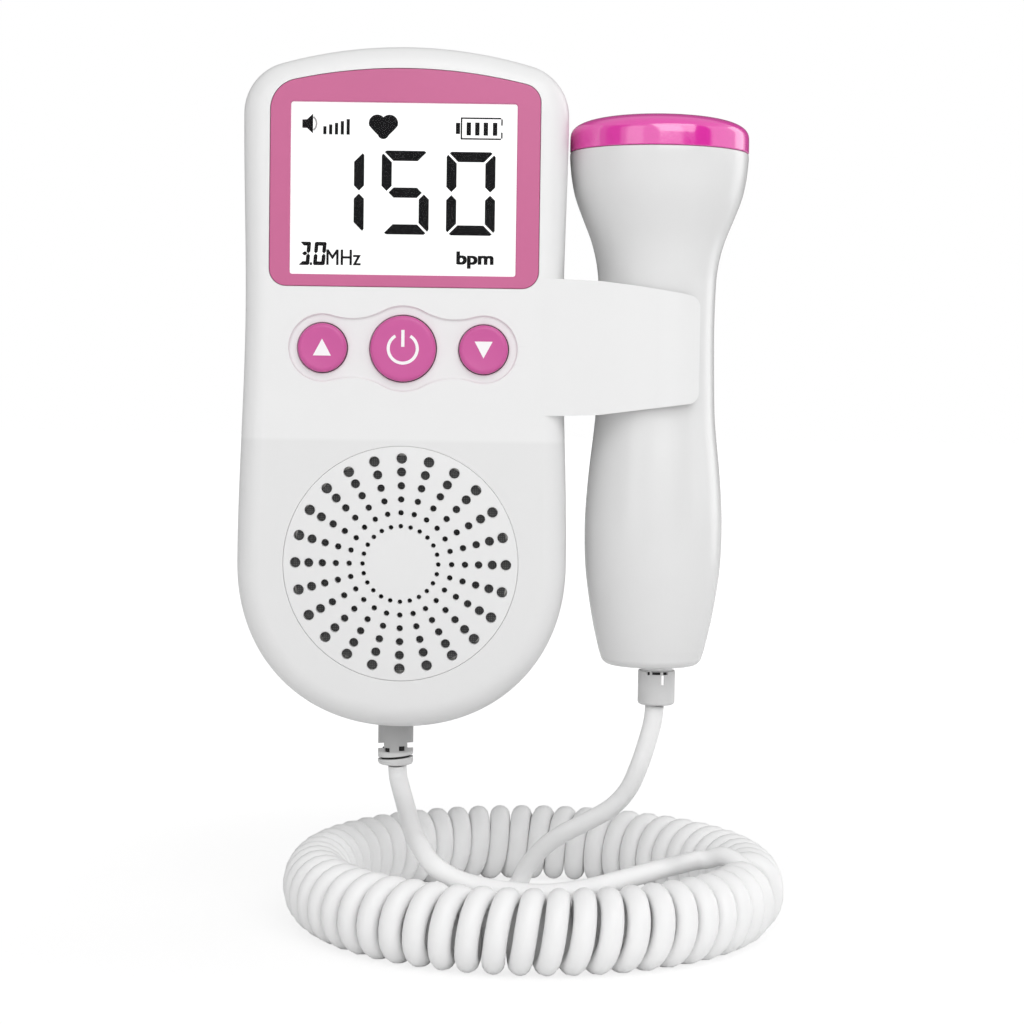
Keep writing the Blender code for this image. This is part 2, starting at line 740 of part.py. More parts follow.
def build_rear_shell(plastic):
    """White rear half with the rear arm, the battery tub, the screw bosses and the door opening."""
    shell = shell_body("rear_shell", FRONT_Y - OVERRUN, SEAM_Y + GAP / 2)
    arm = clip_arm("rear_arm", rear_arm_plan(), SEAM_Y, REAR_PLATE_Y)
    boolean(shell, arm, "UNION")
    boolean(shell, hollow("rear_hollow"))
    tub_x = TUB_HALF_WIDTH + TUB_SIDE_WALL
    inner = INNER_BACK_Y + EMBED
    solids = [box("tub", (-tub_x, TUB_FLOOR_Y - TUB_FLOOR_WALL, level(TUB_BOTTOM - TUB_END_WALL)),
                  (tub_x, inner, level(TUB_TOP + TUB_END_WALL)))]
    bores = []
    heads = []
    for x, height in screw_places():
        z = level(height)
        seam = SEAM_Y + GAP / 2
        solids.append(rod("rear_boss", (x, seam, z), (x, inner, z), REAR_BOSS_RADIUS))
        bores.append(rod("bore", (x, seam - OVERRUN, z), (x, -SCREW_SEAT_DEPTH + OVERRUN, z),
                         SCREW_SHANK_RADIUS + GAP, TINY_STEPS))
        heads.append(rod("head_bore", (x, -SCREW_SEAT_DEPTH, z), (x, OVERRUN, z), SCREW_HEAD_RADIUS + GAP))
    boolean(shell, joined("rear_solids", solids), "UNION")
    room = box("tub_room", (-TUB_HALF_WIDTH, TUB_FLOOR_Y, level(TUB_BOTTOM)),
               (TUB_HALF_WIDTH, OVERRUN, level(TUB_TOP)))
    boolean(shell, joined("rear_bores", bores + [room]))
    opening = face_slab("door_opening", door_outline(GAP), -DOOR_THICKNESS - GAP, OVERRUN)
    boolean(shell, joined("rear_head_bores", heads + [opening]))
    boolean(shell, hinge_room())
    notch = rod("thumb_notch", (0, -NOTCH_DEPTH, level(DOOR_TOP)), (0, OVERRUN, level(DOOR_TOP)),
                NOTCH_RADIUS, ROUND_STEPS)
    boolean(shell, notch)
    boolean(shell, gland_hole("rear_gland_hole"))
    return finish(merge_flat_faces(shell), plastic)


def hinge_room():
    """Space for the door's hinge barrel and its two pins."""
    z = level(hinge_height())
    barrel = DOOR_HALF_WIDTH + GAP
    pin = DOOR_HALF_WIDTH + PIN_LENGTH + GAP
    profile = [(0, pin), (PIN_RADIUS + GAP, pin), (PIN_RADIUS + GAP, barrel),
               (HINGE_RADIUS + GAP, barrel), (HINGE_RADIUS + GAP, -barrel),
               (PIN_RADIUS + GAP, -barrel), (PIN_RADIUS + GAP, -pin), (0, -pin)]
    room = turned("hinge_room", profile, SMALL_STEPS, CUTTERS)
    room.rotation_euler = (0, pi / 2, 0)
    room.location = (0, -HINGE_RADIUS, z)
    return room


def hinge_height():
    return TUB_BOTTOM - DOOR_LEDGE + HINGE_RADIUS


def door_outline(grow=0.0):
    """Battery door seen from behind, its foot square where the hinge barrel joins it."""
    half = DOOR_HALF_WIDTH + grow
    top = DOOR_TOP + grow
    low = hinge_height() - HINGE_RADIUS - grow
    x = half - DOOR_CORNER
    high = top - DOOR_CORNER
    return ([(-half, low), (half, low)] + arc((x, high), DOOR_CORNER, 0, pi / 2)
            + arc((-x, high), DOOR_CORNER, pi / 2, pi))


def lens_outline(grow=0.0):
    lap = LENS_LAP + grow
    return rounded_box(VIEW_HALF_WIDTH + lap, VIEW_BOTTOM - lap, VIEW_TOP + lap,
                       VIEW_CORNER + lap)


def build_display(pink, clear, glass, white):
    """Bezel, lens, segment panel and light guide, stacked behind the face."""
    bezel = face_slab("display_bezel", arched_box(), FRONT_Y, FRONT_Y + BEZEL_THICKNESS, PARTS)
    view = rounded_box(VIEW_HALF_WIDTH, VIEW_BOTTOM, VIEW_TOP, VIEW_CORNER)
    boolean(bezel, face_slab("view_opening", view, FRONT_Y - OVERRUN, FRONT_Y + OVERRUN))
    finish(bezel, pink)
    lens = face_slab("display_window", lens_outline(), LENS_Y, LENS_Y + LENS_THICKNESS, PARTS)
    finish(lens, clear)
    half = VIEW_HALF_WIDTH + PANEL_MARGIN
    low = level(VIEW_BOTTOM - PANEL_MARGIN)
    high = level(VIEW_TOP + PANEL_MARGIN)
    panel = box("lcd_panel", (-half, PANEL_Y, low), (half, PANEL_Y + PANEL_THICKNESS, high), PARTS)
    finish(panel, glass)
    light = box("lcd_backlight", (-half, LIGHT_Y, low), (half, LIGHT_Y + LIGHT_THICKNESS, high), PARTS)
    finish(light, white)


def build_board(green):
    """Main circuit board with its processor and an amplifier on the rear face."""
    board = box("main_board", (-BOARD_HALF_WIDTH, BOARD_Y, level(BOARD_BOTTOM)),
                (BOARD_HALF_WIDTH, BOARD_Y + BOARD_THICKNESS, level(BOARD_TOP)), PARTS)
    back = BOARD_Y + BOARD_THICKNESS
    low = level(BOARD_BOTTOM + CHIP_RISE)
    chips = []
    for side in (-1, 1):
        x = side * BOARD_HALF_WIDTH / 2
        chips.append(box("chip", (x - CHIP_HALF_WIDTH, back - CHIP_THICKNESS / 2, low),
                         (x + CHIP_HALF_WIDTH, back + CHIP_THICKNESS, low + CHIP_HALF_WIDTH * 2)))
    boolean(board, joined("chips", chips), "UNION")
    return finish(board, green)


def build_keys(pink, white, black):
    """Three keys, each with the plunger that it presses and the switch body on the board."""
    for name, x, radius in key_list():
        top = FRONT_Y - KEY_PROUD
        length = KEY_FLANGE_Y + KEY_FLANGE_THICKNESS - top
        flange_front = KEY_FLANGE_Y - top
        profile = [(0, length), (radius + KEY_FLANGE, length), (radius + KEY_FLANGE, flange_front),
                   (radius, flange_front), (radius, KEY_EDGE),
                   (radius - KEY_EDGE * (1 - cos(pi / 4)), KEY_EDGE * (1 - sin(pi / 4))),
                   (radius - KEY_EDGE, 0), (0, 0)]
        finish(along_depth(turned(name + "_button", profile, ROUND_STEPS), x, top, KEY_HEIGHT), pink)
        stem = [(0, STEM_LENGTH), (STEM_RADIUS, STEM_LENGTH), (STEM_RADIUS, 0), (0, 0)]
        finish(along_depth(turned("stem_" + name, stem, TINY_STEPS), x, STEM_Y, KEY_HEIGHT), white)
        z = level(KEY_HEIGHT)
        switch = box("switch_" + name, (x - SWITCH_HALF_WIDTH, SWITCH_Y, z - SWITCH_HALF_WIDTH),
                     (x + SWITCH_HALF_WIDTH, SWITCH_Y + SWITCH_THICKNESS, z + SWITCH_HALF_WIDTH), PARTS)
        stop = STEM_Y + STEM_LENGTH + KEY_TRAVEL + GAP
        boolean(switch, rod(name + "_well", (x, SWITCH_Y - OVERRUN, z), (x, stop, z),
                            STEM_RADIUS + GAP, TINY_STEPS))
        finish(switch, black)


def build_grille(plastic):
    """Perforated disc with a rim that is trapped behind the face."""
    flange_y = INNER_FRONT_Y + GAP - FRONT_Y
    depth = flange_y + GRILLE_FLANGE_THICKNESS
    rim = GRILLE_RADIUS + GRILLE_FLANGE
    hollow_radius = GRILLE_RING_RADII[-1] + GRILLE_HOLE_RADII[-1] + GAP
    profile = [(0, GRILLE_PLATE), (hollow_radius, GRILLE_PLATE), (hollow_radius, depth), (rim, depth),
               (rim, flange_y), (GRILLE_RADIUS, flange_y), (GRILLE_RADIUS, 0), (0, 0)]
    disc = turned("speaker_grille", profile, WIDE_STEPS)
    merge_flat_faces(along_depth(disc, 0, FRONT_Y, SPEAKER_HEIGHT))
    holes = []
    for ring, radius, sides in zip(GRILLE_RING_RADII, GRILLE_HOLE_RADII, GRILLE_HOLE_SIDES):
        for spoke in range(GRILLE_SPOKES):
            angle = pi * 2 * spoke / GRILLE_SPOKES
            x = ring * cos(angle)
            z = level(SPEAKER_HEIGHT) + ring * sin(angle)
            holes.append(rod("hole", (x, FRONT_Y - OVERRUN, z),
                             (x, FRONT_Y + GRILLE_PLATE + OVERRUN, z), radius, sides))
    boolean(disc, joined("grille_holes", holes))
    return finish(merge_flat_faces(disc), plastic)


def build_speaker(cloth_black, steel, paper, magnet_grey):
    """Dust cloth, basket, cone and magnet of the loudspeaker."""
    cloth_y = FRONT_Y + GRILLE_PLATE + GAP
    cloth_radius = GRILLE_RING_RADII[-1] + GRILLE_HOLE_RADII[-1]
    cloth = [(0, CLOTH_THICKNESS), (cloth_radius, CLOTH_THICKNESS), (cloth_radius, 0), (0, 0)]
    finish(along_depth(turned("speaker_cloth", cloth, INNER_STEPS), 0, cloth_y, SPEAKER_HEIGHT),
           cloth_black)
    frame_y = INNER_FRONT_Y + GAP + GRILLE_FLANGE_THICKNESS + GAP
    rim = GRILLE_RADIUS + GRILLE_FLANGE
    lip = cloth_radius - FRAME_WALL
    back_hole = DUST_CAP_RADIUS + FRAME_WALL
    profile = [
        (back_hole, FRAME_DEPTH), (FRAME_BACK_RADIUS, FRAME_DEPTH), (rim - FRAME_WALL, FRAME_WALL * 2),
        (rim, FRAME_WALL), (rim, 0), (lip, 0), (lip, FRAME_WALL),
        (FRAME_BACK_RADIUS - FRAME_WALL, FRAME_DEPTH - FRAME_WALL),
        (back_hole, FRAME_DEPTH - FRAME_WALL), (back_hole, FRAME_DEPTH),
    ]
    frame = along_depth(turned("speaker_frame", profile, INNER_STEPS), 0, frame_y, SPEAKER_HEIGHT)
    finish(frame, steel)
    magnet_y = frame_y + FRAME_DEPTH + GAP
    magnet = [(0, MAGNET_THICKNESS), (MAGNET_RADIUS, MAGNET_THICKNESS), (MAGNET_RADIUS, 0), (0, 0)]
    finish(along_depth(turned("speaker_magnet", magnet, INNER_STEPS), 0, magnet_y, SPEAKER_HEIGHT),
           magnet_grey)
    cone_y = cloth_y + CLOTH_THICKNESS + GAP
    cone_rim = lip - GAP
    cone = [
        (0, CONE_DEPTH / 2 + CONE_WALL), (DUST_CAP_RADIUS, CONE_DEPTH + CONE_WALL),
        (cone_rim - CONE_DEPTH / 2, CONE_WALL * 2), (cone_rim, CONE_WALL), (cone_rim, 0),
        (cone_rim - CONE_DEPTH / 2, CONE_WALL), (DUST_CAP_RADIUS, CONE_DEPTH), (0, CONE_DEPTH / 2),
    ]
    finish(along_depth(turned("speaker_cone", cone, INNER_STEPS), 0, cone_y, SPEAKER_HEIGHT), paper)


def cell_base(side):
    """Height of a cell's foot: one stands on its spring, the other on its contact plate."""
    low = TUB_BOTTOM + GAP + CONTACT_THICKNESS + GAP
    return low + SPRING_LENGTH + GAP if side < 0 else low


def build_batteries(jacket, steel):
    """Two cells head to tail, the plates at both ends of the tub and the two springs."""
    for side, name in ((-1, "left"), (1, "right")):
        x = side * CELL_SPACING
        base = cell_base(side)
        body = CELL_LENGTH - NUB_LENGTH - GAP
        if side < 0:
            profile = [(0, body + NUB_LENGTH), (NUB_RADIUS, body + NUB_LENGTH), (NUB_RADIUS, body),
                       (CELL_RADIUS, body), (CELL_RADIUS, 0), (0, 0)]
            spring_base = TUB_BOTTOM + GAP + CONTACT_THICKNESS + GAP
        else:
            profile = [(0, body + NUB_LENGTH), (CELL_RADIUS, body + NUB_LENGTH),
                       (CELL_RADIUS, NUB_LENGTH), (NUB_RADIUS, NUB_LENGTH), (NUB_RADIUS, 0), (0, 0)]
            spring_base = base + body + NUB_LENGTH + GAP
        cell = turned("battery_cell_" + name, profile, INNER_STEPS)
        finish(upright(cell, x, CELL_Y, base), jacket)
        spring = coil_spring("battery_spring_" + name, x, spring_base)
        finish(spring, steel)
        high = TUB_TOP - GAP
        half = CELL_RADIUS - CONTACT_MARGIN
        plate = box("battery_plate_" + name, (x - half, CELL_Y - half, level(high - CONTACT_THICKNESS)),
                    (x + half, CELL_Y + half, level(high)), PARTS)
        finish(plate, steel)
    reach = CELL_SPACING + half
    bridge = box("battery_bridge_plate", (-reach, CELL_Y - half, level(TUB_BOTTOM + GAP)),
                 (reach, CELL_Y + half, level(TUB_BOTTOM + GAP + CONTACT_THICKNESS)), PARTS)
    finish(bridge, steel)


def coil_spring(name, x, base):
    """Contact spring: a plain helix between a contact plate and a cell's flat end."""
    rise = SPRING_LENGTH - SPRING_WIRE
    count = SPRING_TURNS * CURL_POINTS + 1
    points = []
    for index in range(count):
        share = index / (count - 1)
        angle = pi * 2 * SPRING_TURNS * share
        points.append(Vector((x + SPRING_RADIUS * cos(angle), CELL_Y + SPRING_RADIUS * sin(angle),
                              level(base + SPRING_WIRE / 2 + rise * share))))
    return tube(name, points, SPRING_WIRE / 2, 0)


def build_door(plastic):
    """Battery door with its hinge barrel and pins; its origin is on the hinge axis."""
    axis_y = -HINGE_RADIUS
    axis_height = hinge_height()
    outline = [(x, height - axis_height) for x, height in door_outline()]
    floor = [(x, max(height, 0.0)) for x, height in outline]
    curve = flat_curve("battery_door", floor, DOOR_THICKNESS, 0, 0, PARTS)
    curve.rotation_euler = (pi / 2, 0, 0)
    curve.location = (0, HINGE_RADIUS - DOOR_THICKNESS / 2, 0)
    slab = curve_to_mesh(curve, PARTS)
    slab.data.transform(slab.matrix_world)
    slab.matrix_world = Matrix.Identity(4)
    pin = DOOR_HALF_WIDTH + PIN_LENGTH
    profile = [(0, pin), (PIN_RADIUS, pin), (PIN_RADIUS, DOOR_HALF_WIDTH),
               (HINGE_RADIUS, DOOR_HALF_WIDTH), (HINGE_RADIUS, -DOOR_HALF_WIDTH),
               (PIN_RADIUS, -DOOR_HALF_WIDTH), (PIN_RADIUS, -pin), (0, -pin)]
    barrel = turned("hinge_barrel", profile, SMALL_STEPS, CUTTERS)
    barrel.rotation_euler = (0, pi / 2, 0)
    axis = (0, axis_y, level(axis_height))
    barrel.location = axis
    slab.location = axis
    boolean(slab, barrel, "UNION")
    return finish(slab, plastic)


def build_screws(steel):
    """Four pan-head screws, driven from the back into the front bosses."""
    for index, (x, height) in enumerate(screw_places(), start=1):
        shank = SCREW_LENGTH - SCREW_HEAD_THICKNESS
        tip = -SCREW_SEAT_DEPTH + GAP + SCREW_HEAD_THICKNESS - SCREW_LENGTH
        profile = [(0, SCREW_LENGTH), (SCREW_HEAD_RADIUS, SCREW_LENGTH - SCREW_HEAD_THICKNESS / 3),
                   (SCREW_HEAD_RADIUS, shank), (SCREW_SHANK_RADIUS, shank),
                   (SCREW_SHANK_RADIUS, SCREW_SHANK_RADIUS), (0, 0)]
        screw = turned(f"case_screw_{index}", profile, TINY_STEPS)
        along_depth(screw, x, tip, height)
        top = tip + SCREW_LENGTH
        z = level(height)
        for across, up in ((DRIVE_SLOT_LENGTH, DRIVE_SLOT_WIDTH), (DRIVE_SLOT_WIDTH, DRIVE_SLOT_LENGTH)):
            slot = box(f"drive_{index}", (x - across / 2, top - DRIVE_SLOT_DEPTH, z - up / 2),
                       (x + across / 2, top + OVERRUN, z + up / 2))
            boolean(screw, slot)
        finish(screw, steel)


def build_probe(plastic, pink, ceramic, rubber, green, grey):
    """Probe handle in two halves, its face, crystals, backing, board and strain relief."""
    frame = bpy.data.objects.new("probe_frame", None)
    bpy.data.collections[PARTS].objects.link(frame)
    frame.location = (PROBE_X, PROBE_Y, level(0))
    outer = probe_sections()
    foot = PROBE_FOOT
    rim = PROBE_TOP
    bore = PROBE_GLAND_RADIUS - GLAND_NECK + GAP
    seat = FACE_SPIGOT_RADIUS + GAP
    shelf = rim - FACE_SPIGOT_LENGTH - GAP * 2
    inner = [(radius - PROBE_WALL, height) for radius, height in outer[::-2]
             if foot + PROBE_WALL * 2 < height < shelf - PROBE_WALL]
    profile = [(seat, rim)] + outer + [(bore, foot), (bore, foot + PROBE_WALL)]
    profile += [(probe_radius(foot + PROBE_WALL * 2) - PROBE_WALL, foot + PROBE_WALL)] + inner
    profile += [(seat, shelf), (seat, rim)]
    reach = FACE_RADIUS + OVERRUN
    for name, low, high in (("probe_front_shell", -GAP / 2, reach), ("probe_rear_shell", -reach, GAP / 2)):
        half = turned(name, profile, ROUND_STEPS)
        half.parent = frame
        cutter = box(name + "_split", (PROBE_X - reach, PROBE_Y + low, level(foot - OVERRUN)),
                     (PROBE_X + reach, PROBE_Y + high, level(rim + OVERRUN)))
        boolean(half, cutter)
        finish(half, plastic)
    base = rim + GAP
    shoulder = base + FACE_SIDE
    dome = []
    for share in reversed(DOME_SHOULDER_SHARES):
        radius = (1 - share ** DOME_POWER) ** (1 / DOME_POWER) * FACE_RADIUS
        dome.append((radius, shoulder + FACE_DOME * share))
    skin = shoulder + FACE_DOME - FACE_SKIN
    spigot_inner = FACE_SPIGOT_RADIUS - FACE_SPIGOT_WALL
    spigot_foot = rim - FACE_SPIGOT_LENGTH
    profile = [(0, shoulder + FACE_DOME)] + dome + [
        (FACE_RADIUS, shoulder), (FACE_RADIUS, base + GAP), (FACE_RADIUS - GAP, base),
        (FACE_SPIGOT_RADIUS, base), (FACE_SPIGOT_RADIUS, spigot_foot), (spigot_inner, spigot_foot),
        (spigot_inner, skin), (0, skin)]
    cap = turned("probe_face_cap", profile, WIDE_STEPS - SMALL_STEPS // 2)
    cap.parent = frame
    finish(cap, pink)
    crystal_top = skin - GAP
    crystal_foot = crystal_top - CRYSTAL_THICKNESS
    disc = [(0, crystal_top), (CRYSTAL_RADIUS, crystal_top), (CRYSTAL_RADIUS, crystal_foot),
            (0, crystal_foot)]
    for name, low, high in (("transmit_crystal", -CRYSTAL_SPLIT / 2, reach),
                            ("receive_crystal", -reach, CRYSTAL_SPLIT / 2)):
        half = turned(name, disc, INNER_STEPS)
        half.parent = frame
        cutter = box(name + "_split", (PROBE_X + low, PROBE_Y - reach, level(crystal_foot - OVERRUN)),
                     (PROBE_X + high, PROBE_Y + reach, level(crystal_top + OVERRUN)))
        boolean(half, cutter)
        finish(half, ceramic)
    backing_top = crystal_foot - GAP
    backing_foot = backing_top - BACKING_THICKNESS
    backing_radius = spigot_inner - GAP
    profile = [(0, backing_top), (backing_radius, backing_top), (backing_radius, backing_foot),
               (0, backing_foot)]
    backing = turned("crystal_backing", profile, INNER_STEPS)
    backing.parent = frame
    finish(backing, rubber)
    half_board = min(radius for radius, height in outer if height > PROBE_BOARD_BOTTOM)
    half_board -= PROBE_WALL + GAP
    board = box("probe_board", (-half_board, -PROBE_BOARD_THICKNESS / 2, PROBE_BOARD_BOTTOM),
                (half_board, PROBE_BOARD_THICKNESS / 2, PROBE_BOARD_TOP), PARTS)
    board.parent = frame
    finish(board, green)
    return build_gland("probe_strain_relief", PROBE_GLAND_RADIUS, PROBE_GLAND_LENGTH, foot, PROBE_WALL,
                       grey, PROBE_X, PROBE_Y)


def build_gland(name, radius, length, wall_foot, wall, grey, x, y):
    """Slotted strain relief: a flange inside the wall, a neck in it and a slotted sleeve below."""
    neck = radius - GLAND_NECK
    inside = wall_foot + wall + GAP * 2
    top = inside + GLAND_FLANGE_THICKNESS
    sleeve = wall_foot - GAP * 2
    foot = sleeve - length
    groove = sleeve - length * GLAND_GROOVE_SHARE
    profile = [
        (0, top), (neck + GLAND_FLANGE, top), (neck + GLAND_FLANGE, inside), (neck, inside),
        (neck, sleeve), (radius, sleeve), (radius, groove),
        (radius - GLAND_GROOVE, groove), (radius - GLAND_GROOVE, groove - GLAND_GROOVE_HEIGHT),
        (radius, groove - GLAND_GROOVE_HEIGHT), (radius, foot + GLAND_TAPER),
        (radius - GLAND_TAPER, foot), (0, foot)]
    gland = upright(turned(name, profile, SMALL_STEPS), x, y)
    slot_top = sleeve - length * GLAND_SLOT_SHARE
    slots = []
    for side in (-1, 1):
        near = side * GLAND_BRIDGE
        far = side * (radius + OVERRUN)
        for face in (-1, 1):
            front = face * GLAND_BRIDGE * 2
            back = face * (radius + OVERRUN)
            slots.append(box(
                name + "_slot",
                (x + min(near, far), y + min(front, back), level(slot_top - GLAND_SLOT_HEIGHT)),
                (x + max(near, far), y + max(front, back), level(slot_top))))
    boolean(gland, joined(name + "_slots", slots))
    return finish(gland, grey)


def tube(name, points, radius, resolution, collection=PARTS):
    """Round tube along a line of points, closed at both ends."""
    data = bpy.data.curves.new(name, "CURVE")
    data.dimensions = "3D"
    data.bevel_depth = radius
    data.bevel_resolution = resolution
    data.use_fill_caps = True
    data.resolution_u = 1
    data.render_resolution_u = 0
    spline = data.splines.new("POLY")
    spline.points.add(len(points) - 1)
    for place, point in zip(spline.points, points):
        place.co = (*point, 1)
    curve = bpy.data.objects.new(name, data)
    bpy.data.collections[collection].objects.link(curve)
    return curve_to_mesh(curve, collection, MERGE / 2)


def curl_point(turn):
    """Point on the cord's centre line after so many curls, from the top of the ring's right end."""
    around = RING_START - CURL_STEP * turn
    roll = pi / 2 - pi * 2 * turn
    radius = RING_RADIUS + CURL_RADIUS * cos(roll)
    return Vector((RING_X + radius * cos(around), RING_Y + radius * sin(around),
                   level(RING_HEIGHT) + CURL_HALF_HEIGHT * sin(roll)))


def curl_direction(turn):
    small = 1 / (CURL_POINTS * ROUND_STEPS)
    return (curl_point(turn + small) - curl_point(turn - small)).normalized()


def lead_direction():
    """Way in which the cord runs down onto the ring, where its first curl starts."""
    flat = cos(LEAD_DROP)
    return Vector((cos(LEAD_HEADING) * flat, sin(LEAD_HEADING) * flat, -sin(LEAD_DROP)))


def ring_points():
    """The whole coiled stretch, with a straight run of one diameter at each end."""
    run = CORD_RADIUS * 2
    count = round(CURLS * CURL_POINTS)
    points = [curl_point(0) - lead_direction() * run]
    points += [curl_point(index / CURL_POINTS) for index in range(count + 1)]
    points.append(curl_point(CURLS) + curl_direction(CURLS) * run)
    return points


def smooth_route(route):
    """Even points, about two diameters apart, on a smooth curve through a route's own points.

    The first and the last stretch of the route stay straight, square to what they meet.
    """
    fine = []
    per_span = CURL_POINTS * 2
    for index in range(1, len(route) - 2):
        p0 = route[index - 1]
        p1 = route[index]
        p2 = route[index + 1]
        p3 = route[index + 2]
        for step in range(per_span):
            t = step / per_span
            fine.append((p1 * 2 + (p2 - p0) * t + (p0 * 2 - p1 * 5 + p2 * 4 - p3) * t ** 2
                         + (p1 * 3 - p0 - p2 * 3 + p3) * t ** 3) / 2)
    fine.append(route[-2])
    lengths = [0.0]
    for before, after in zip(fine, fine[1:]):
        lengths.append(lengths[-1] + (after - before).length)
    count = round(lengths[-1] / TAIL_POINT_SPACING)
    points = [route[0]]
    place = 0
    for index in range(count + 1):
        wanted = lengths[-1] * index / count
        while place < len(fine) - 2 and lengths[place + 1] < wanted:
            place += 1
        share = (wanted - lengths[place]) / (lengths[place + 1] - lengths[place])
        points.append(fine[place].lerp(fine[place + 1], min(max(share, 0), 1)))
    return points + [route[-1]]


def unit_tail_route():
    """From the unit's gland down and forward, over the inner shoulder of the ring, to its right end."""
    exit_z = level(-UNIT_GLAND_LENGTH - GAP * 3)
    end = ring_points()[0] - lead_direction() * GAP
    return [
        Vector((GLAND_X, GLAND_Y, exit_z)),
        Vector((GLAND_X, GLAND_Y, exit_z - CORD_RADIUS * 2)),
        Vector((-0.0002, -0.0205, level(-0.0190))),
        Vector((0.0028, -0.0285, level(-0.0232))),
        Vector((0.0076, -0.0400, level(-0.0256))),
        Vector((0.0140, -0.0511, level(-0.0265))),
        Vector((0.0235, -0.0563, level(-0.0269))),
        Vector((0.0335, -0.0564, level(-0.0268))),
        Vector((0.0435, -0.0532, level(-0.0264))),
        Vector((0.0507, -0.0484, level(-0.0254))),
        Vector((0.0565, -0.0432, level(-0.0242))),
        end - lead_direction() * CORD_RADIUS * 2,
        end,
    ]


def probe_tail_route():
    """From the probe's gland down into the ring, along the floor inside it, to its other end."""
    foot = PROBE_FOOT - PROBE_GLAND_LENGTH
    exit_z = level(foot - GAP * 3)
    end = ring_points()[-1] + curl_direction(CURLS) * GAP
    lead = end + curl_direction(CURLS) * CORD_RADIUS * 2
    return [
        Vector((PROBE_X, PROBE_Y, exit_z)),
        Vector((PROBE_X, PROBE_Y, exit_z - CORD_RADIUS * 2)),
        Vector((0.0500, -0.0180, level(-0.0062))),
        Vector((0.0480, -0.0175, level(-0.0117))),
        Vector((0.0440, -0.0158, level(-0.0180))),
        Vector((0.0365, -0.0120, level(-0.0237))),
        Vector((0.0298, -0.0065, level(-0.0290))),
        Vector((0.0250, -0.0018, level(-0.0338))),
        Vector((0.0203, 0.0014, level(-0.0374))),
        Vector((0.0142, 0.0016, level(RING_HEIGHT - CURL_HALF_HEIGHT))),
        Vector((0.0089, -0.0036, level(RING_HEIGHT - CURL_HALF_HEIGHT))),
        Vector((0.0086, -0.0112, level(RING_HEIGHT - CURL_HALF_HEIGHT))),
        Vector((0.0142, -0.0185, level(RING_HEIGHT - CURL_HALF_HEIGHT))),
        Vector((0.0240, -0.0248, level(RING_HEIGHT - CURL_HALF_HEIGHT))),
        Vector((0.0360, -0.0306, level(RING_HEIGHT - CURL_HALF_HEIGHT))),
        Vector((0.0480, -0.0350, level(RING_HEIGHT - CURL_HALF_HEIGHT))),
        lead,
        end,
    ]


def segment_gap(point, start, end):
    line = end - start
    share = (point - start).dot(line) / line.length_squared
    return (start + line * min(max(share, 0), 1) - point).length


def least_gap(first, second, skip=0):
    """Least space between two tubes, or between a tube and its own other turns."""
    best = UNIT_HEIGHT
    for index, point in enumerate(first):
        for other in range(len(second) - 1):
            if skip and abs(other - index) < skip:
                continue
            best = min(best, segment_gap(point, second[other], second[other + 1]))
    return best - CORD_RADIUS * 2


def path_length(points):
    return sum((after - before).length for before, after in zip(points, points[1:]))


def build_cord(grey):
    """Curly stretch and its two plain tails."""
    ring = ring_points()
    unit_tail = smooth_route(unit_tail_route())
    probe_tail = smooth_route(probe_tail_route())
    finish(tube("cord_curl_ring", ring, CORD_RADIUS, CURL_SIDES_RESOLUTION), grey)
    finish(tube("cord_unit_tail", unit_tail, CORD_RADIUS, TAIL_SIDES_RESOLUTION), grey)
    finish(tube("cord_probe_tail", probe_tail, CORD_RADIUS, TAIL_SIDES_RESOLUTION), grey)
    mm = 1000
    print("curly cord: least gap to itself", round(least_gap(ring, ring, CURL_POINTS // 2 + 1) * mm, 3), "mm")
    print("unit tail to ring", round(least_gap(unit_tail[:-1], ring) * mm, 3), "mm")
    print("probe tail to ring", round(least_gap(probe_tail[:-1], ring) * mm, 3), "mm")
    print("unit tail to probe tail", round(least_gap(unit_tail, probe_tail) * mm, 3), "mm")
    for name, points in (("ring", ring), ("unit tail", unit_tail), ("probe tail", probe_tail)):
        print(name, "length", round(path_length(points) * mm, 1), "mm,", len(points), "points")


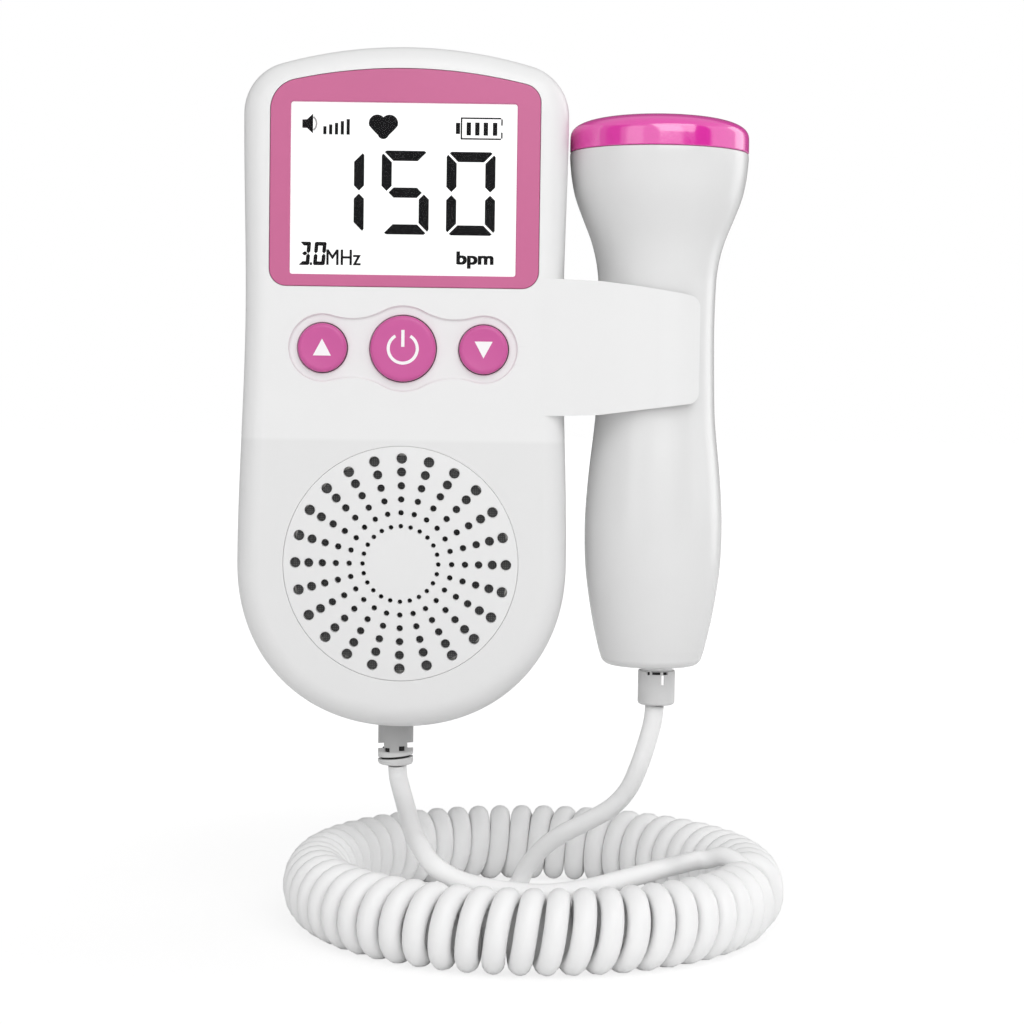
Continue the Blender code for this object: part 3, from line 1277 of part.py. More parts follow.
def main():
    clear_scene()
    new_collection(PARTS)
    new_collection(CUTTERS)
    shell_white = material("shell_white", (0.84, 0.84, 0.84), 0.35)
    button_pink = material("button_pink", (0.66, 0.10, 0.36), 0.35)
    bezel_pink = material("bezel_pink", (0.60, 0.16, 0.34), 0.40)
    face_pink = material("face_pink", (0.80, 0.08, 0.42), 0.30)
    clear_lens = material("clear_lens", (0.95, 0.95, 0.95), 0.05)
    display_glass = material("display_glass", (0.90, 0.92, 0.90), 0.10)
    inner_white = material("inner_white", (0.80, 0.80, 0.78), 0.50)
    board_green = material("board_green", (0.03, 0.18, 0.08), 0.45)
    part_black = material("part_black", (0.02, 0.02, 0.02), 0.50)
    cloth_black = material("cloth_black", (0.03, 0.03, 0.03), 0.90)
    spring_steel = material("spring_steel", (0.60, 0.60, 0.60), 0.30, 1.0)
    magnet_grey = material("magnet_grey", (0.30, 0.30, 0.31), 0.35, 1.0)
    cone_paper = material("cone_paper", (0.05, 0.05, 0.05), 0.80)
    cell_jacket = material("cell_jacket", (0.05, 0.12, 0.30), 0.40)
    crystal_ceramic = material("crystal_ceramic", (0.55, 0.45, 0.30), 0.50)
    backing_rubber = material("backing_rubber", (0.08, 0.08, 0.08), 0.85)
    gland_grey = material("gland_grey", (0.45, 0.45, 0.45), 0.50)
    cord_grey = material("cord_grey", (0.78, 0.78, 0.78), 0.45)

    build_front_shell(shell_white)
    build_rear_shell(shell_white)
    build_display(bezel_pink, clear_lens, display_glass, inner_white)
    build_board(board_green)
    build_keys(button_pink, inner_white, part_black)
    build_grille(shell_white)
    build_speaker(cloth_black, spring_steel, cone_paper, magnet_grey)
    build_batteries(cell_jacket, spring_steel)
    build_door(shell_white)
    build_screws(spring_steel)
    build_probe(shell_white, face_pink, crystal_ceramic, backing_rubber, board_green, gland_grey)
    build_gland("unit_strain_relief", UNIT_GLAND_RADIUS, UNIT_GLAND_LENGTH, 0, WALL, gland_grey,
                GLAND_X, GLAND_Y)
    build_cord(cord_grey)


main()
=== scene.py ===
"""Looks of the pocket fetal doppler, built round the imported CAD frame.

The front faces -Y and heights are measured up from the lowest point of the hand unit, as in the
CAD part. Every visible piece is a finer mesh of a CAD piece or keeps the CAD mesh with a material
of its own; nothing of the frame is moved.
"""
from math import acos, asin, atan2, cos, pi, radians, sin, sqrt

import bmesh
import bpy
from mathutils import Matrix, Vector


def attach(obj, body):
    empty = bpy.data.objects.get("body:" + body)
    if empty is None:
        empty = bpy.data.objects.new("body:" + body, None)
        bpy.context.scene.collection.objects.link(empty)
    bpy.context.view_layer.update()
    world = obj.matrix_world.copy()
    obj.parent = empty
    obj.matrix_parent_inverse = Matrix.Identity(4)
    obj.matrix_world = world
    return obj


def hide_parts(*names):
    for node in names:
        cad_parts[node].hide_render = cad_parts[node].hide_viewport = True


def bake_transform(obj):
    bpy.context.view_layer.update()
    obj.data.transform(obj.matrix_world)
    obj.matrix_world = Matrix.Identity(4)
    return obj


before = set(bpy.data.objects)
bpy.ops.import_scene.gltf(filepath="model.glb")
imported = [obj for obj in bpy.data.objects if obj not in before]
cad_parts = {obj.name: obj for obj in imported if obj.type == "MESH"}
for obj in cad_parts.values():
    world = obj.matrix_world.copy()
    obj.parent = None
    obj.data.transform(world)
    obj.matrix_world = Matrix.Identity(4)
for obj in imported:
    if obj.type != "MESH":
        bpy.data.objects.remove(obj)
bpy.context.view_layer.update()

# Sizes in metres: those of the CAD part, and a few that only the looks have
LAND_HEIGHT = 0.1008
UNIT_HEIGHT = 0.1385
UNIT_DEPTH = 0.032
BOWL_HALF_WIDTH = 0.0337
BOWL_HEIGHT = 0.0338
BOWL_POWER = 2.15
WAIST_HALF_WIDTH = 0.0324
WAIST_HEIGHT = 0.0858
SHOULDER_HALF_WIDTH = 0.0330
SHOULDER_RADIUS = 0.0105
CROWN_RADIUS = 0.092
EDGE_RADIUS = 0.005
WALL = 0.0022
SEAM_DEPTH = 0.017
SEAM_GAP = 0.0002
FRONT_Y = -UNIT_DEPTH
SEAM_Y = -SEAM_DEPTH
INNER_FRONT_Y = FRONT_Y + WALL
OVERRUN = 0.004
GAP = 0.0003
FINE_GAP = 0.00008

BEZEL_HALF_WIDTH = 0.0272
BEZEL_BOTTOM = 0.0898
BEZEL_TOP = 0.1336
BEZEL_CROWN_RADIUS = 0.104
BEZEL_LEFT_CORNER = 0.0062
BEZEL_RIGHT_CORNER = 0.0038
BEZEL_BOTTOM_CORNER = 0.0034
BEZEL_THICKNESS = 0.0011
BEZEL_EDGE = 0.00022
VIEW_X = -0.0003
VIEW_HALF_WIDTH = 0.0228
VIEW_BOTTOM = 0.0922
VIEW_TOP = 0.1268
VIEW_CORNER = 0.0005
BEZEL_SEAT = 0.0014
LENS_SEAT = 0.0013
LENS_SEAT_CORNER = 0.0018
LENS_LAP = 0.0010
LENS_Y = FRONT_Y + BEZEL_THICKNESS + GAP
LENS_THICKNESS = 0.0010
PANEL_Y = LENS_Y + LENS_THICKNESS + GAP

KEY_HEIGHT = 0.0774
KEY_SPACING = 0.0163
POWER_KEY_RADIUS = 0.00665
SIDE_KEY_RADIUS = 0.00495
KEY_PROUD = 0.0010
KEY_GAP = 0.00032
KEYS = [("up", -KEY_SPACING, SIDE_KEY_RADIUS), ("power", 0.0, POWER_KEY_RADIUS),
        ("down", KEY_SPACING, SIDE_KEY_RADIUS)]
LOBE_DEPTH = 0.0006
POWER_LOBE_RADIUS = 0.0086
SIDE_LOBE_RADIUS = 0.0068
LOBE_FILLET_RADIUS = 0.0130

SPEAKER_HEIGHT = 0.0338
GRILLE_RADIUS = 0.0239
GRILLE_PLATE = 0.0015
GRILLE_DOME = 0.0007
GRILLE_LIP = 0.001
GRILLE_SPOKES = 24
GRILLE_RING_RADII = [0.00768, 0.0104, 0.0131, 0.01586, 0.01864, 0.0214]
GRILLE_HOLE_RADII = [0.00047, 0.00056, 0.00065, 0.00077, 0.00093, 0.00108]

TUB_BOTTOM = 0.0158
TUB_TOP = 0.0723
TUB_HALF_WIDTH = 0.01505
TUB_FLOOR_Y = -0.0171
TUB_SIDE_WALL = 0.0034
TUB_FLOOR_WALL = 0.0015
TUB_END_WALL = 0.0016
BOSS_RADIUS = 0.0034
WALL_LAP = 0.0009
DOOR_LEDGE = 0.0014
DOOR_HALF_WIDTH = TUB_HALF_WIDTH + DOOR_LEDGE
DOOR_TOP = TUB_TOP + DOOR_LEDGE
DOOR_THICKNESS = 0.0020
DOOR_CORNER = 0.0018
GRIP_GROOVES = 6
GRIP_DROP = 0.0052
GRIP_PITCH = 0.0017
GRIP_HALF_LENGTH = 0.0068
GRIP_HALF_WIDTH = 0.00035
GRIP_DEPTH = 0.0005
GRIP_TAPER = 0.0004
HINGE_RADIUS = 0.0014
HINGE_HEIGHT = 0.0158
PIN_RADIUS = 0.0007
PIN_LENGTH = 0.0012
NOTCH_SPHERE = 0.0156
NOTCH_DEPTH = 0.0012
SCREW_PLACES = [(-0.0274, 0.0608), (0.0274, 0.0608), (-0.0274, 0.1195), (0.0274, 0.1195)]
SCREW_HEAD_RADIUS = 0.0020
SCREW_SEAT_DEPTH = 0.0115
DRIVE_LENGTH = 0.0013
DRIVE_WIDTH = 0.00028
DRIVE_FLOOR = 0.0008

PROBE_X = 0.0520
PROBE_SECTION_SHARES = [
    (0.997, 1.0000), (0.998, 0.9860), (0.975, 0.9485), (0.930, 0.9129),
    (0.846, 0.8736), (0.758, 0.8352), (0.702, 0.8015), (0.671, 0.7706),
    (0.658, 0.7397), (0.648, 0.6554), (0.663, 0.5225), (0.680, 0.4682),
    (0.723, 0.3998), (0.756, 0.3352), (0.772, 0.2715), (0.761, 0.2004),
    (0.721, 0.1404), (0.662, 0.0805), (0.596, 0.0300),
]
PROBE_FOOT = 0.0125
PROBE_LENGTH = 0.1061
PROBE_FOOT_CORNER = 0.0022
PROBE_WALL = 0.0018
FACE_RADIUS = 0.0185
FACE_SIDE = 0.0025
FACE_DOME = 0.0049
DOME_POWER = 2.9
CAP_SEAT = FACE_RADIUS - 0.0020
CAP_SKIRT = 0.0028
SHELF_DEPTH = 0.0032
CORD_BORE = 0.0027

CLIP_CLEARANCE = 0.0003
CLIP_THICKNESS = 0.0020
ARM_PROUD = 0.00078
REAR_PLATE_SHARE = 0.823
FRONT_TIP_ANGLE = radians(-55)
REAR_TIP_ANGLE = radians(112)
REAR_PLATE_THICKNESS = 0.0022
ARM_FOOT = 0.0631
ARM_TOP = 0.0917
ARM_EDGE = 0.0008

CORD_RADIUS = 0.00195
UNIT_GLAND_RADIUS = 0.00370
UNIT_GLAND_LENGTH = 0.0095
PROBE_GLAND_RADIUS = 0.00386
PROBE_GLAND_LENGTH = 0.0084
PROBE_GLAND_X = PROBE_X + 0.00125
GLAND_Y = -0.0165
GLAND_X = -0.0013
RING_X = 0.0280
RING_Y = -0.0200
RING_HEIGHT = -0.0336
RING_RADIUS = 0.0450
CURL_RADIUS = 0.0050
CURL_HALF_HEIGHT = 0.00615
CURLS = 56.5
RING_START = radians(-15)
CURL_STEP = radians(6.3)
LEAD_HEADING = radians(-40)
LEAD_DROP = radians(23.7)
CURL_POINTS = 22
SPAN_STEPS = 24
TAIL_SPACING = 0.0013

# The curls nearly touch: their jacket swells a little, most on the outer side of the ring
CURL_SWELL = 0.15
OUTER_SWELL = 0.01
CURL_FLOOR = RING_HEIGHT - CURL_HALF_HEIGHT
FLOOR_HEIGHT = CURL_FLOOR - CORD_RADIUS - GAP

CAMERA_PLACE = (0.0225, -0.501, -0.0332)
CAMERA_TILT = radians(87.2)
CAMERA_ROLL = radians(0.80)
CAMERA_LENS = 81.4

# Pairs of heights between which a colour changes; below the case's pair its face is painted shade
CASE_SHADE_EDGE = (0.0584, 0.0592)
GLAND_TONE_EDGE = (-0.0070, -0.0064)
CELL_TONE_EDGE = (0.0308, 0.0310)

# Strength of the room's own light on everything but the backdrop, by compass direction in degrees
# from straight in front, positive to the right: each value holds from its edge to the next, and
# the edges are softened by a few degrees
WORLD_PANELS = [(-180, 0.16), (-140, 0.42), (-76, 0.18), (-46, 0.90), (26, 0.06), (66, 0.98),
                (140, 0.16)]
PANEL_EDGE = 3
WORLD_CEILING = 0.60
CEILING_EDGE = (0.55, 0.75)

# The floor's half width; its glow, the glow's share near the ring and far off, and the distances
# between which that share grows
FLOOR_GRID_SIZE = 6
FLOOR_GLOW = 1.12
FLOOR_LIFT = (0.70, 1.0)
FLOOR_LIFT_REACH = (0.07, 0.30)

# Name, place, target, width, height and power in watts
LIGHTS = [
    ("key", (0.32, -0.82, 0.55), (0.02, -0.02, -0.04), 0.9, 0.9, 4.8),
    ("fill", (-0.55, -0.76, 0.15), (0.02, -0.02, -0.04), 0.5, 0.8, 0.6),
    ("rim", (0.66, 0.34, 0.05), (0.06, -0.02, -0.03), 0.28, 0.85, 0.9),
]

PROBE_SECTIONS = [(share * FACE_RADIUS, PROBE_FOOT + along * PROBE_LENGTH)
                  for share, along in PROBE_SECTION_SHARES]


def probe_radius(height):
    """Radius of the probe handle at a height, read between its sections."""
    for (upper, top), (lower, bottom) in zip(PROBE_SECTIONS, PROBE_SECTIONS[1:]):
        if bottom <= height <= top:
            return lower + (upper - lower) * (height - bottom) / (top - bottom)
    return 0.0


CLIP_INNER = max(probe_radius(ARM_FOOT), probe_radius(ARM_TOP)) + CLIP_CLEARANCE
CLIP_OUTER = CLIP_INNER + CLIP_THICKNESS
PROBE_Y = FRONT_Y - ARM_PROUD + CLIP_OUTER
REAR_PLATE_Y = PROBE_Y + CLIP_OUTER * REAR_PLATE_SHARE


def level(height):
    """World z of a height above the lowest point of the unit."""
    return height - LAND_HEIGHT


# Camera

def place_camera():
    """Straight on, a little above the middle of the unit and tipped down, as in the photograph."""
    data = bpy.data.cameras.new("camera")
    data.sensor_width = 36
    data.lens = CAMERA_LENS
    data.clip_start = 0.01
    data.clip_end = 30
    camera = bpy.data.objects.new("camera", data)
    bpy.context.scene.collection.objects.link(camera)
    camera.matrix_world = (Matrix.Translation(CAMERA_PLACE)
                           @ Matrix.Rotation(CAMERA_TILT, 4, "X")
                           @ Matrix.Rotation(CAMERA_ROLL, 4, "Z"))
    bpy.context.scene.camera = camera


# Mesh tools

def link(item):
    bpy.context.scene.collection.objects.link(item)
    return item


def mesh_piece(name, work):
    """Object from a bmesh, which is used up."""
    mesh = bpy.data.meshes.new(name)
    work.to_mesh(mesh)
    work.free()
    return link(bpy.data.objects.new(name, mesh))


def evaluated_mesh(item):
    bpy.context.view_layer.update()
    graph = bpy.context.evaluated_depsgraph_get()
    return bpy.data.meshes.new_from_object(item.evaluated_get(graph))


def placed(item, matrix):
    """Moves the mesh itself, so that the object stays at the origin."""
    item.data.transform(matrix)
    item.data.update()
    return item


def solid_mesh(curve, weld=0.00001):
    """Replaces a curve by its mesh in world coordinates, with the caps welded on."""
    mesh = evaluated_mesh(curve)
    mesh.transform(curve.matrix_world)
    work = bmesh.new()
    work.from_mesh(mesh)
    bmesh.ops.remove_doubles(work, verts=work.verts, dist=weld)
    name = curve.name
    data = curve.data
    bpy.data.objects.remove(curve)
    bpy.data.curves.remove(data)
    return mesh_piece(name, work)


def slab(name, outline, thickness, edge, inset, resolution, matrix):
    """A closed outline, filled, thickened along its own Z and rounded along both rims."""
    data = bpy.data.curves.new(name, "CURVE")
    data.dimensions = "2D"
    data.fill_mode = "BOTH"
    data.resolution_u = 1
    data.extrude = thickness / 2 - edge
    data.bevel_depth = edge
    data.bevel_resolution = resolution
    data.offset = -inset - edge
    spline = data.splines.new("POLY")
    spline.points.add(len(outline) - 1)
    for point, (across, up) in zip(spline.points, outline):
        point.co = (across, up, 0, 1)
    spline.use_cyclic_u = True
    curve = link(bpy.data.objects.new(name, data))
    curve.matrix_world = matrix
    return solid_mesh(curve)


def face_slab(name, outline, front, back, edge=0.0, inset=0.0, resolution=4):
    """Slab with an outline in (x, height), lying between two depths along Y."""
    matrix = Matrix.Translation((0, (front + back) / 2, level(0))) @ Matrix.Rotation(pi / 2, 4, "X")
    return slab(name, outline, back - front, edge, inset, resolution, matrix)


def plan_slab(name, outline, low, high):
    """Slab with an outline in (x, y), lying between two heights."""
    return slab(name, outline, high - low, 0, 0, 0, Matrix.Translation((0, 0, level((low + high) / 2))))


def bridge(work, first, second):
    """Faces between two rings of corners; a ring of one repeated corner closes to a point."""
    count = len(first)
    for k in range(count):
        after = (k + 1) % count
        corners = list(dict.fromkeys((first[k], first[after], second[after], second[k])))
        if len(corners) > 2:
            work.faces.new(corners)


def turned(name, profile, steps, matrix=Matrix.Identity(4)):
    """Solid of revolution about Z from (radius, along) points."""
    work = bmesh.new()
    rings = []
    for radius, along in profile:
        if radius < 1e-9:
            rings.append([work.verts.new((0, 0, along))] * steps)
        else:
            rings.append([work.verts.new((radius * cos(pi * 2 * k / steps),
                                          radius * sin(pi * 2 * k / steps), along))
                          for k in range(steps)])
    for first, second in zip(rings, rings[1:]):
        bridge(work, first, second)
    bmesh.ops.remove_doubles(work, verts=work.verts, dist=0.000001)
    bmesh.ops.recalc_face_normals(work, faces=work.faces)
    return placed(mesh_piece(name, work), matrix)


def facing_out(x, y, height):
    """Matrix that lays a turned piece's own Z along world +Y, with its origin at a point."""
    return Matrix.Translation((x, y, level(height))) @ Matrix.Rotation(-pi / 2, 4, "X")


def box(name, low, high):
    low = Vector(low)
    high = Vector(high)
    work = bmesh.new()
    bmesh.ops.create_cube(work, size=1.0)
    bmesh.ops.scale(work, vec=high - low, verts=work.verts)
    bmesh.ops.translate(work, vec=(low + high) / 2, verts=work.verts)
    return mesh_piece(name, work)


def rod(name, start, end, radius, steps=32):
    start = Vector(start)
    end = Vector(end)
    turn = (end - start).to_track_quat("Z", "Y").to_matrix().to_4x4()
    work = bmesh.new()
    bmesh.ops.create_cone(work, cap_ends=True, segments=steps, radius1=radius, radius2=radius,
                          depth=(end - start).length)
    return placed(mesh_piece(name, work), Matrix.Translation((start + end) / 2) @ turn)


def joined(name, items):
    """One mesh from several, which are removed."""
    work = bmesh.new()
    for item in items:
        work.from_mesh(item.data)
        bpy.data.objects.remove(item)
    return mesh_piece(name, work)


def applied(item):
    """Makes the modifiers of a piece part of its mesh."""
    mesh = evaluated_mesh(item)
    item.modifiers.clear()
    item.data = mesh
    return item


def cut(item, tool, operation="DIFFERENCE"):
    """Cuts or joins a tool body at once and removes it."""
    step = item.modifiers.new("cut", "BOOLEAN")
    step.operation = operation
    step.solver = "EXACT"
    step.object = tool
    applied(item)
    bpy.data.objects.remove(tool)
    return item


def rounded_edges(item, width, segments):
    """Rounds the sharp edges of a piece at once."""
    step = item.modifiers.new("edges", "BEVEL")
    step.width = width
    step.segments = segments
    step.limit_method = "ANGLE"
    step.angle_limit = radians(40)
    return applied(item)


def shaded(item, made_of, sharp=radians(35)):
    """Material, smooth shading between sharp edges, and normals that keep flat faces flat."""
    item.data.materials.clear()
    item.data.materials.append(made_of)
    item.data.shade_smooth()
    item.data.set_sharp_from_angle(angle=sharp)
    weights = item.modifiers.new("normals", "WEIGHTED_NORMAL")
    weights.mode = "FACE_AREA"
    weights.weight = 100
    weights.keep_sharp = True
    return item


# Outlines

def arc(centre, radius, start, end, steps=12):
    angles = [start + (end - start) * index / steps for index in range(steps + 1)]
    return [(centre[0] + radius * cos(angle), centre[1] + radius * sin(angle)) for angle in angles]


def mirrored(points):
    """The same points on the other side of x = 0, in the opposite order."""
    return [(-x, height) for x, height in reversed(points)]


def smooth_share(share):
    return share * share * (3 - share * 2)


def unit_outline():
    """Front view of the hand unit: a full round bowl, waisted flanks, round shoulders and a crown."""
    crown_centre = UNIT_HEIGHT - CROWN_RADIUS
    shoulder_x = SHOULDER_HALF_WIDTH - SHOULDER_RADIUS
    shoulder_height = crown_centre + sqrt((CROWN_RADIUS - SHOULDER_RADIUS) ** 2 - shoulder_x ** 2)
    tangent = atan2(shoulder_height - crown_centre, shoulder_x)
    right = []
    for index in range(44):
        angle = pi / 2 * index / 44
        right.append((BOWL_HALF_WIDTH * sin(angle) ** (2 / BOWL_POWER),
                      BOWL_HEIGHT - BOWL_HEIGHT * cos(angle) ** (2 / BOWL_POWER)))
    flanks = [
        (BOWL_HALF_WIDTH, BOWL_HEIGHT, WAIST_HALF_WIDTH, WAIST_HEIGHT),
        (WAIST_HALF_WIDTH, WAIST_HEIGHT, SHOULDER_HALF_WIDTH, shoulder_height),
    ]
    for low_width, low, high_width, high in flanks:
        for index in range(14):
            share = index / 14
            width = low_width + (high_width - low_width) * smooth_share(share)
            right.append((width, low + (high - low) * share))
    right += arc((shoulder_x, shoulder_height), SHOULDER_RADIUS, 0, tangent, 18)[:-1]
    right += arc((0, crown_centre), CROWN_RADIUS, tangent, pi / 2, 14)
    return right + mirrored(right[1:-1])


def rounded_box(half_width, bottom, top, corner, steps=6):
    x = half_width - corner
    low = bottom + corner
    high = top - corner
    points = []
    for turn, centre in enumerate([(x, low), (x, high), (-x, high), (-x, low)]):
        points += arc(centre, corner, pi / 2 * (turn - 1), pi / 2 * turn, steps)
    return points


def arched_half(top_corner, grow):
    """Right half of the bezel's outline, from its foot to its crown."""
    half = BEZEL_HALF_WIDTH + grow
    foot_corner = BEZEL_BOTTOM_CORNER + grow
    crown = BEZEL_CROWN_RADIUS + grow
    top_corner += grow
    centre = BEZEL_TOP + grow - crown
    corner_x = half - top_corner
    corner_height = centre + sqrt((crown - top_corner) ** 2 - corner_x ** 2)
    tangent = atan2(corner_height - centre, corner_x)
    low = BEZEL_BOTTOM - grow + foot_corner
    points = arc((half - foot_corner, low), foot_corner, -pi / 2, 0, 10)
    points += arc((corner_x, corner_height), top_corner, 0, tangent, 14)[:-1]
    return points + arc((0, centre), crown, tangent, pi / 2, 14)


def arched_box(grow=0.0):
    """Outline of the display bezel: an arched top, sharper at its right corner as in the photograph."""
    right = arched_half(BEZEL_RIGHT_CORNER, grow)
    left = arched_half(BEZEL_LEFT_CORNER, grow)
    return right + mirrored(left[:-1])


def lobed_outline(grow=0.0):
    """Recess round the three keys, grown or shrunk evenly."""
    side = SIDE_LOBE_RADIUS + grow
    power = POWER_LOBE_RADIUS + grow
    fillet = LOBE_FILLET_RADIUS - grow
    reach = power + fillet
    side_reach = side + fillet
    fillet_x = (reach ** 2 - side_reach ** 2 + KEY_SPACING ** 2) / (KEY_SPACING * 2)
    fillet_z = sqrt(reach ** 2 - fillet_x ** 2)
    from_middle = atan2(fillet_z, fillet_x)
    from_side = atan2(fillet_z, fillet_x - KEY_SPACING)
    quarter = arc((KEY_SPACING, 0), side, 0, from_side, 20)
    quarter += arc((fillet_x, fillet_z), fillet, from_side - pi, from_middle - pi, 10)[1:]
    quarter += arc((0, 0), power, from_middle, pi / 2, 14)[1:]
    upper = quarter + mirrored(quarter[:-1])
    lower = [(x, -z) for x, z in reversed(upper[1:-1])]
    return [(x, KEY_HEIGHT + z) for x, z in upper + lower]


def lofted(name, sections):
    """Closed body through outlines of (x, height) points at depths along Y."""
    work = bmesh.new()
    rings = [[work.verts.new((x, y, level(height))) for x, height in outline] for y, outline in sections]
    for first, second in zip(rings, rings[1:]):
        bridge(work, first, second)
    work.faces.new(rings[0])
    work.faces.new(rings[-1])
    bmesh.ops.recalc_face_normals(work, faces=work.faces)
    return mesh_piece(name, work)


def plates(name, shapes, front, thickness=0.00004):
    """Thin printed shapes, each a list of (x, height) points in millimetres."""
    work = bmesh.new()
    for shape in shapes:
        fore, rear = ([work.verts.new((x / 1000, y, level(h / 1000))) for x, h in shape]
                      for y in (front, front + thickness))
        bridge(work, fore, rear)
        work.faces.new(fore)
        work.faces.new(rear)
    bmesh.ops.recalc_face_normals(work, faces=work.faces)
    bmesh.ops.triangulate(work, faces=[face for face in work.faces if len(face.verts) > 4])
    return mesh_piece(name, work)


# Materials

def new_material(name):
    made = bpy.data.materials.new(name)
    made.use_nodes = True
    return made, made.node_tree, made.node_tree.nodes["Principled BSDF"]


def feed(tree, node, inputs):
    """Gives inputs of a node their values or links them to other nodes' outputs."""
    for name, value in inputs.items():
        socket = node.inputs[name]
        if isinstance(value, bpy.types.NodeSocket):
            tree.links.new(value, socket)
        else:
            socket.default_value = (*value, 1.0) if socket.type == "RGBA" else value


def output_of(tree, kind, output, inputs, **settings):
    """Adds a shader node and returns one of its outputs."""
    node = tree.nodes.new("ShaderNode" + kind)
    for name, value in settings.items():
        setattr(node, name, value)
    feed(tree, node, inputs)
    return node.outputs[output]


def grey(value):
    return (value, value, value)


def shade_of(colour, share):
    return tuple(min(1.0, value * share) for value in colour)


def noise(tree, coordinates, scale, detail=2.0):
    return output_of(tree, "TexNoise", "Fac", {"Scale": scale, "Detail": detail, "Vector": coordinates})


def spread(tree, value, low, high, start=0.3, end=0.7, smooth=False):
    """Maps a factor to a range."""
    return output_of(tree, "MapRange", "Result",
                     {"From Min": start, "From Max": end, "To Min": low, "To Max": high, "Value": value},
                     interpolation_type="SMOOTHSTEP" if smooth else "LINEAR")


def blended(tree, factor, first, second):
    inputs = {"Factor": factor, "A": first, "B": second}
    return output_of(tree, "Mix", "Result", inputs, data_type="RGBA")


def toned(tree, factor, colour, low, high):
    """A colour in two shares of its brightness, blended by a factor."""
    return blended(tree, factor, shade_of(colour, low), shade_of(colour, high))


def combined(tree, operation, first, second):
    return output_of(tree, "Math", "Value", {0: first, 1: second}, operation=operation)


def object_coordinates(tree):
    return output_of(tree, "TexCoord", "Object", {})


def mapped(tree, coordinates, change, amounts):
    return output_of(tree, "Mapping", "Vector", {change: amounts, "Vector": coordinates})


def height_of(tree, coordinates):
    return output_of(tree, "SeparateXYZ", "Z", {"Vector": coordinates})


def bump(tree, height, strength, distance):
    inputs = {"Strength": strength, "Distance": distance, "Height": height}
    return output_of(tree, "Bump", "Normal", inputs)


def moulded(name, colour, roughness, grain=1400.0, grain_height=0.000012, mottle=0.004, specular=0.5,
            ior=1.5):
    """Moulded or cast stuff with a fine grain, a faint mottle and an uneven gloss."""
    made, tree, shader = new_material(name)
    coordinates = object_coordinates(tree)
    broad = noise(tree, coordinates, 70.0, 3.0)
    feed(tree, shader, {
        "Base Color": toned(tree, spread(tree, broad, 0.0, 1.0, 0.2, 0.8), colour, 1 - mottle,
                            1 + mottle),
        "Roughness": spread(tree, broad, roughness - 0.01, roughness + 0.01, 0.2, 0.8),
        "Normal": bump(tree, noise(tree, coordinates, grain, 3.0), 0.5, grain_height),
        "Specular IOR Level": specular,
        "IOR": ior,
    })
    return made


def recoloured_below(made, edge, lower, smooth=False):
    """Gives a moulded material another colour below an edge, a pair of heights."""
    tree = made.node_tree
    shader = tree.nodes["Principled BSDF"]
    upper = shader.inputs["Base Color"].links[0].from_socket
    height = height_of(tree, object_coordinates(tree))
    factor = spread(tree, height, 1.0, 0.0, level(edge[0]), level(edge[1]), smooth)
    feed(tree, shader, {"Base Color": blended(tree, factor, upper, lower)})
    return made


def display_white():
    """Backlit panel: a pale diffuser, a little uneven, that gives its own light."""
    made, tree, shader = new_material("display_white")
    coordinates = object_coordinates(tree)
    uneven = noise(tree, coordinates, 35.0, 1.0)
    feed(tree, shader, {
        "Base Color": blended(tree, spread(tree, uneven, 0.0, 1.0), (0.24, 0.245, 0.24), grey(0.27)),
        "Emission Color": blended(tree, spread(tree, uneven, 0.0, 1.0), (0.94, 0.95, 0.94), grey(0.97)),
        "Emission Strength": 1.0,
        "Roughness": spread(tree, noise(tree, coordinates, 900.0), 0.30, 0.38),
    })
    return made


def clear_plastic():
    """Clear acrylic lens with a faint haze; the display shows through it."""
    made, tree, shader = new_material("lens_clear")
    haze = noise(tree, object_coordinates(tree), 260.0, 4.0)
    feed(tree, shader, {"Alpha": spread(tree, haze, 0.02, 0.04),
                        "Roughness": spread(tree, haze, 0.03, 0.07), "Base Color": grey(0.10)})
    return made


def circuit_green():
    """Solder mask with fine traces and pads."""
    made, tree, shader = new_material("board_mask")
    traces = tree.nodes.new("ShaderNodeTexBrick")
    feed(tree, traces, {
        "Scale": 160.0, "Mortar Size": 0.035, "Color1": (0.020, 0.150, 0.060),
        "Color2": (0.025, 0.180, 0.075), "Mortar": (0.060, 0.280, 0.120),
        "Vector": mapped(tree, object_coordinates(tree), "Rotation", (pi / 2, 0, 0)),
    })
    feed(tree, shader, {"Base Color": traces.outputs["Color"], "Roughness": 0.35,
                        "Normal": bump(tree, traces.outputs["Fac"], 0.4, 0.00003)})
    return made


def woven(name, colour):
    """Open woven cloth: two crossed sets of threads."""
    made, tree, shader = new_material(name)
    coordinates = object_coordinates(tree)
    threads = [output_of(tree, "TexWave", "Fac",
                         {"Scale": 700.0, "Distortion": 0.4, "Vector": coordinates},
                         bands_direction=direction) for direction in ("X", "Z")]
    weave = combined(tree, "MULTIPLY", *threads)
    feed(tree, shader, {
        "Base Color": toned(tree, spread(tree, weave, 0.0, 1.0, 0.0, 0.8), colour, 0.6, 1.25),
        "Roughness": 0.9,
        "Normal": bump(tree, weave, 0.6, 0.0001),
    })
    return made


def brushed(name, colour, roughness, along="Z"):
    """Drawn or plated metal with fine lines along one axis."""
    made, tree, shader = new_material(name)
    stretch = tuple(60 if axis == along else 2500 for axis in "XYZ")
    lines = noise(tree, mapped(tree, object_coordinates(tree), "Scale", stretch), 1.0, 4.0)
    feed(tree, shader, {
        "Base Color": toned(tree, spread(tree, lines, 0.0, 1.0), colour, 0.86, 1.08),
        "Roughness": spread(tree, lines, roughness - 0.06, roughness + 0.08),
        "Metallic": 1.0,
        "Normal": bump(tree, lines, 0.3, 0.000008),
    })
    return made


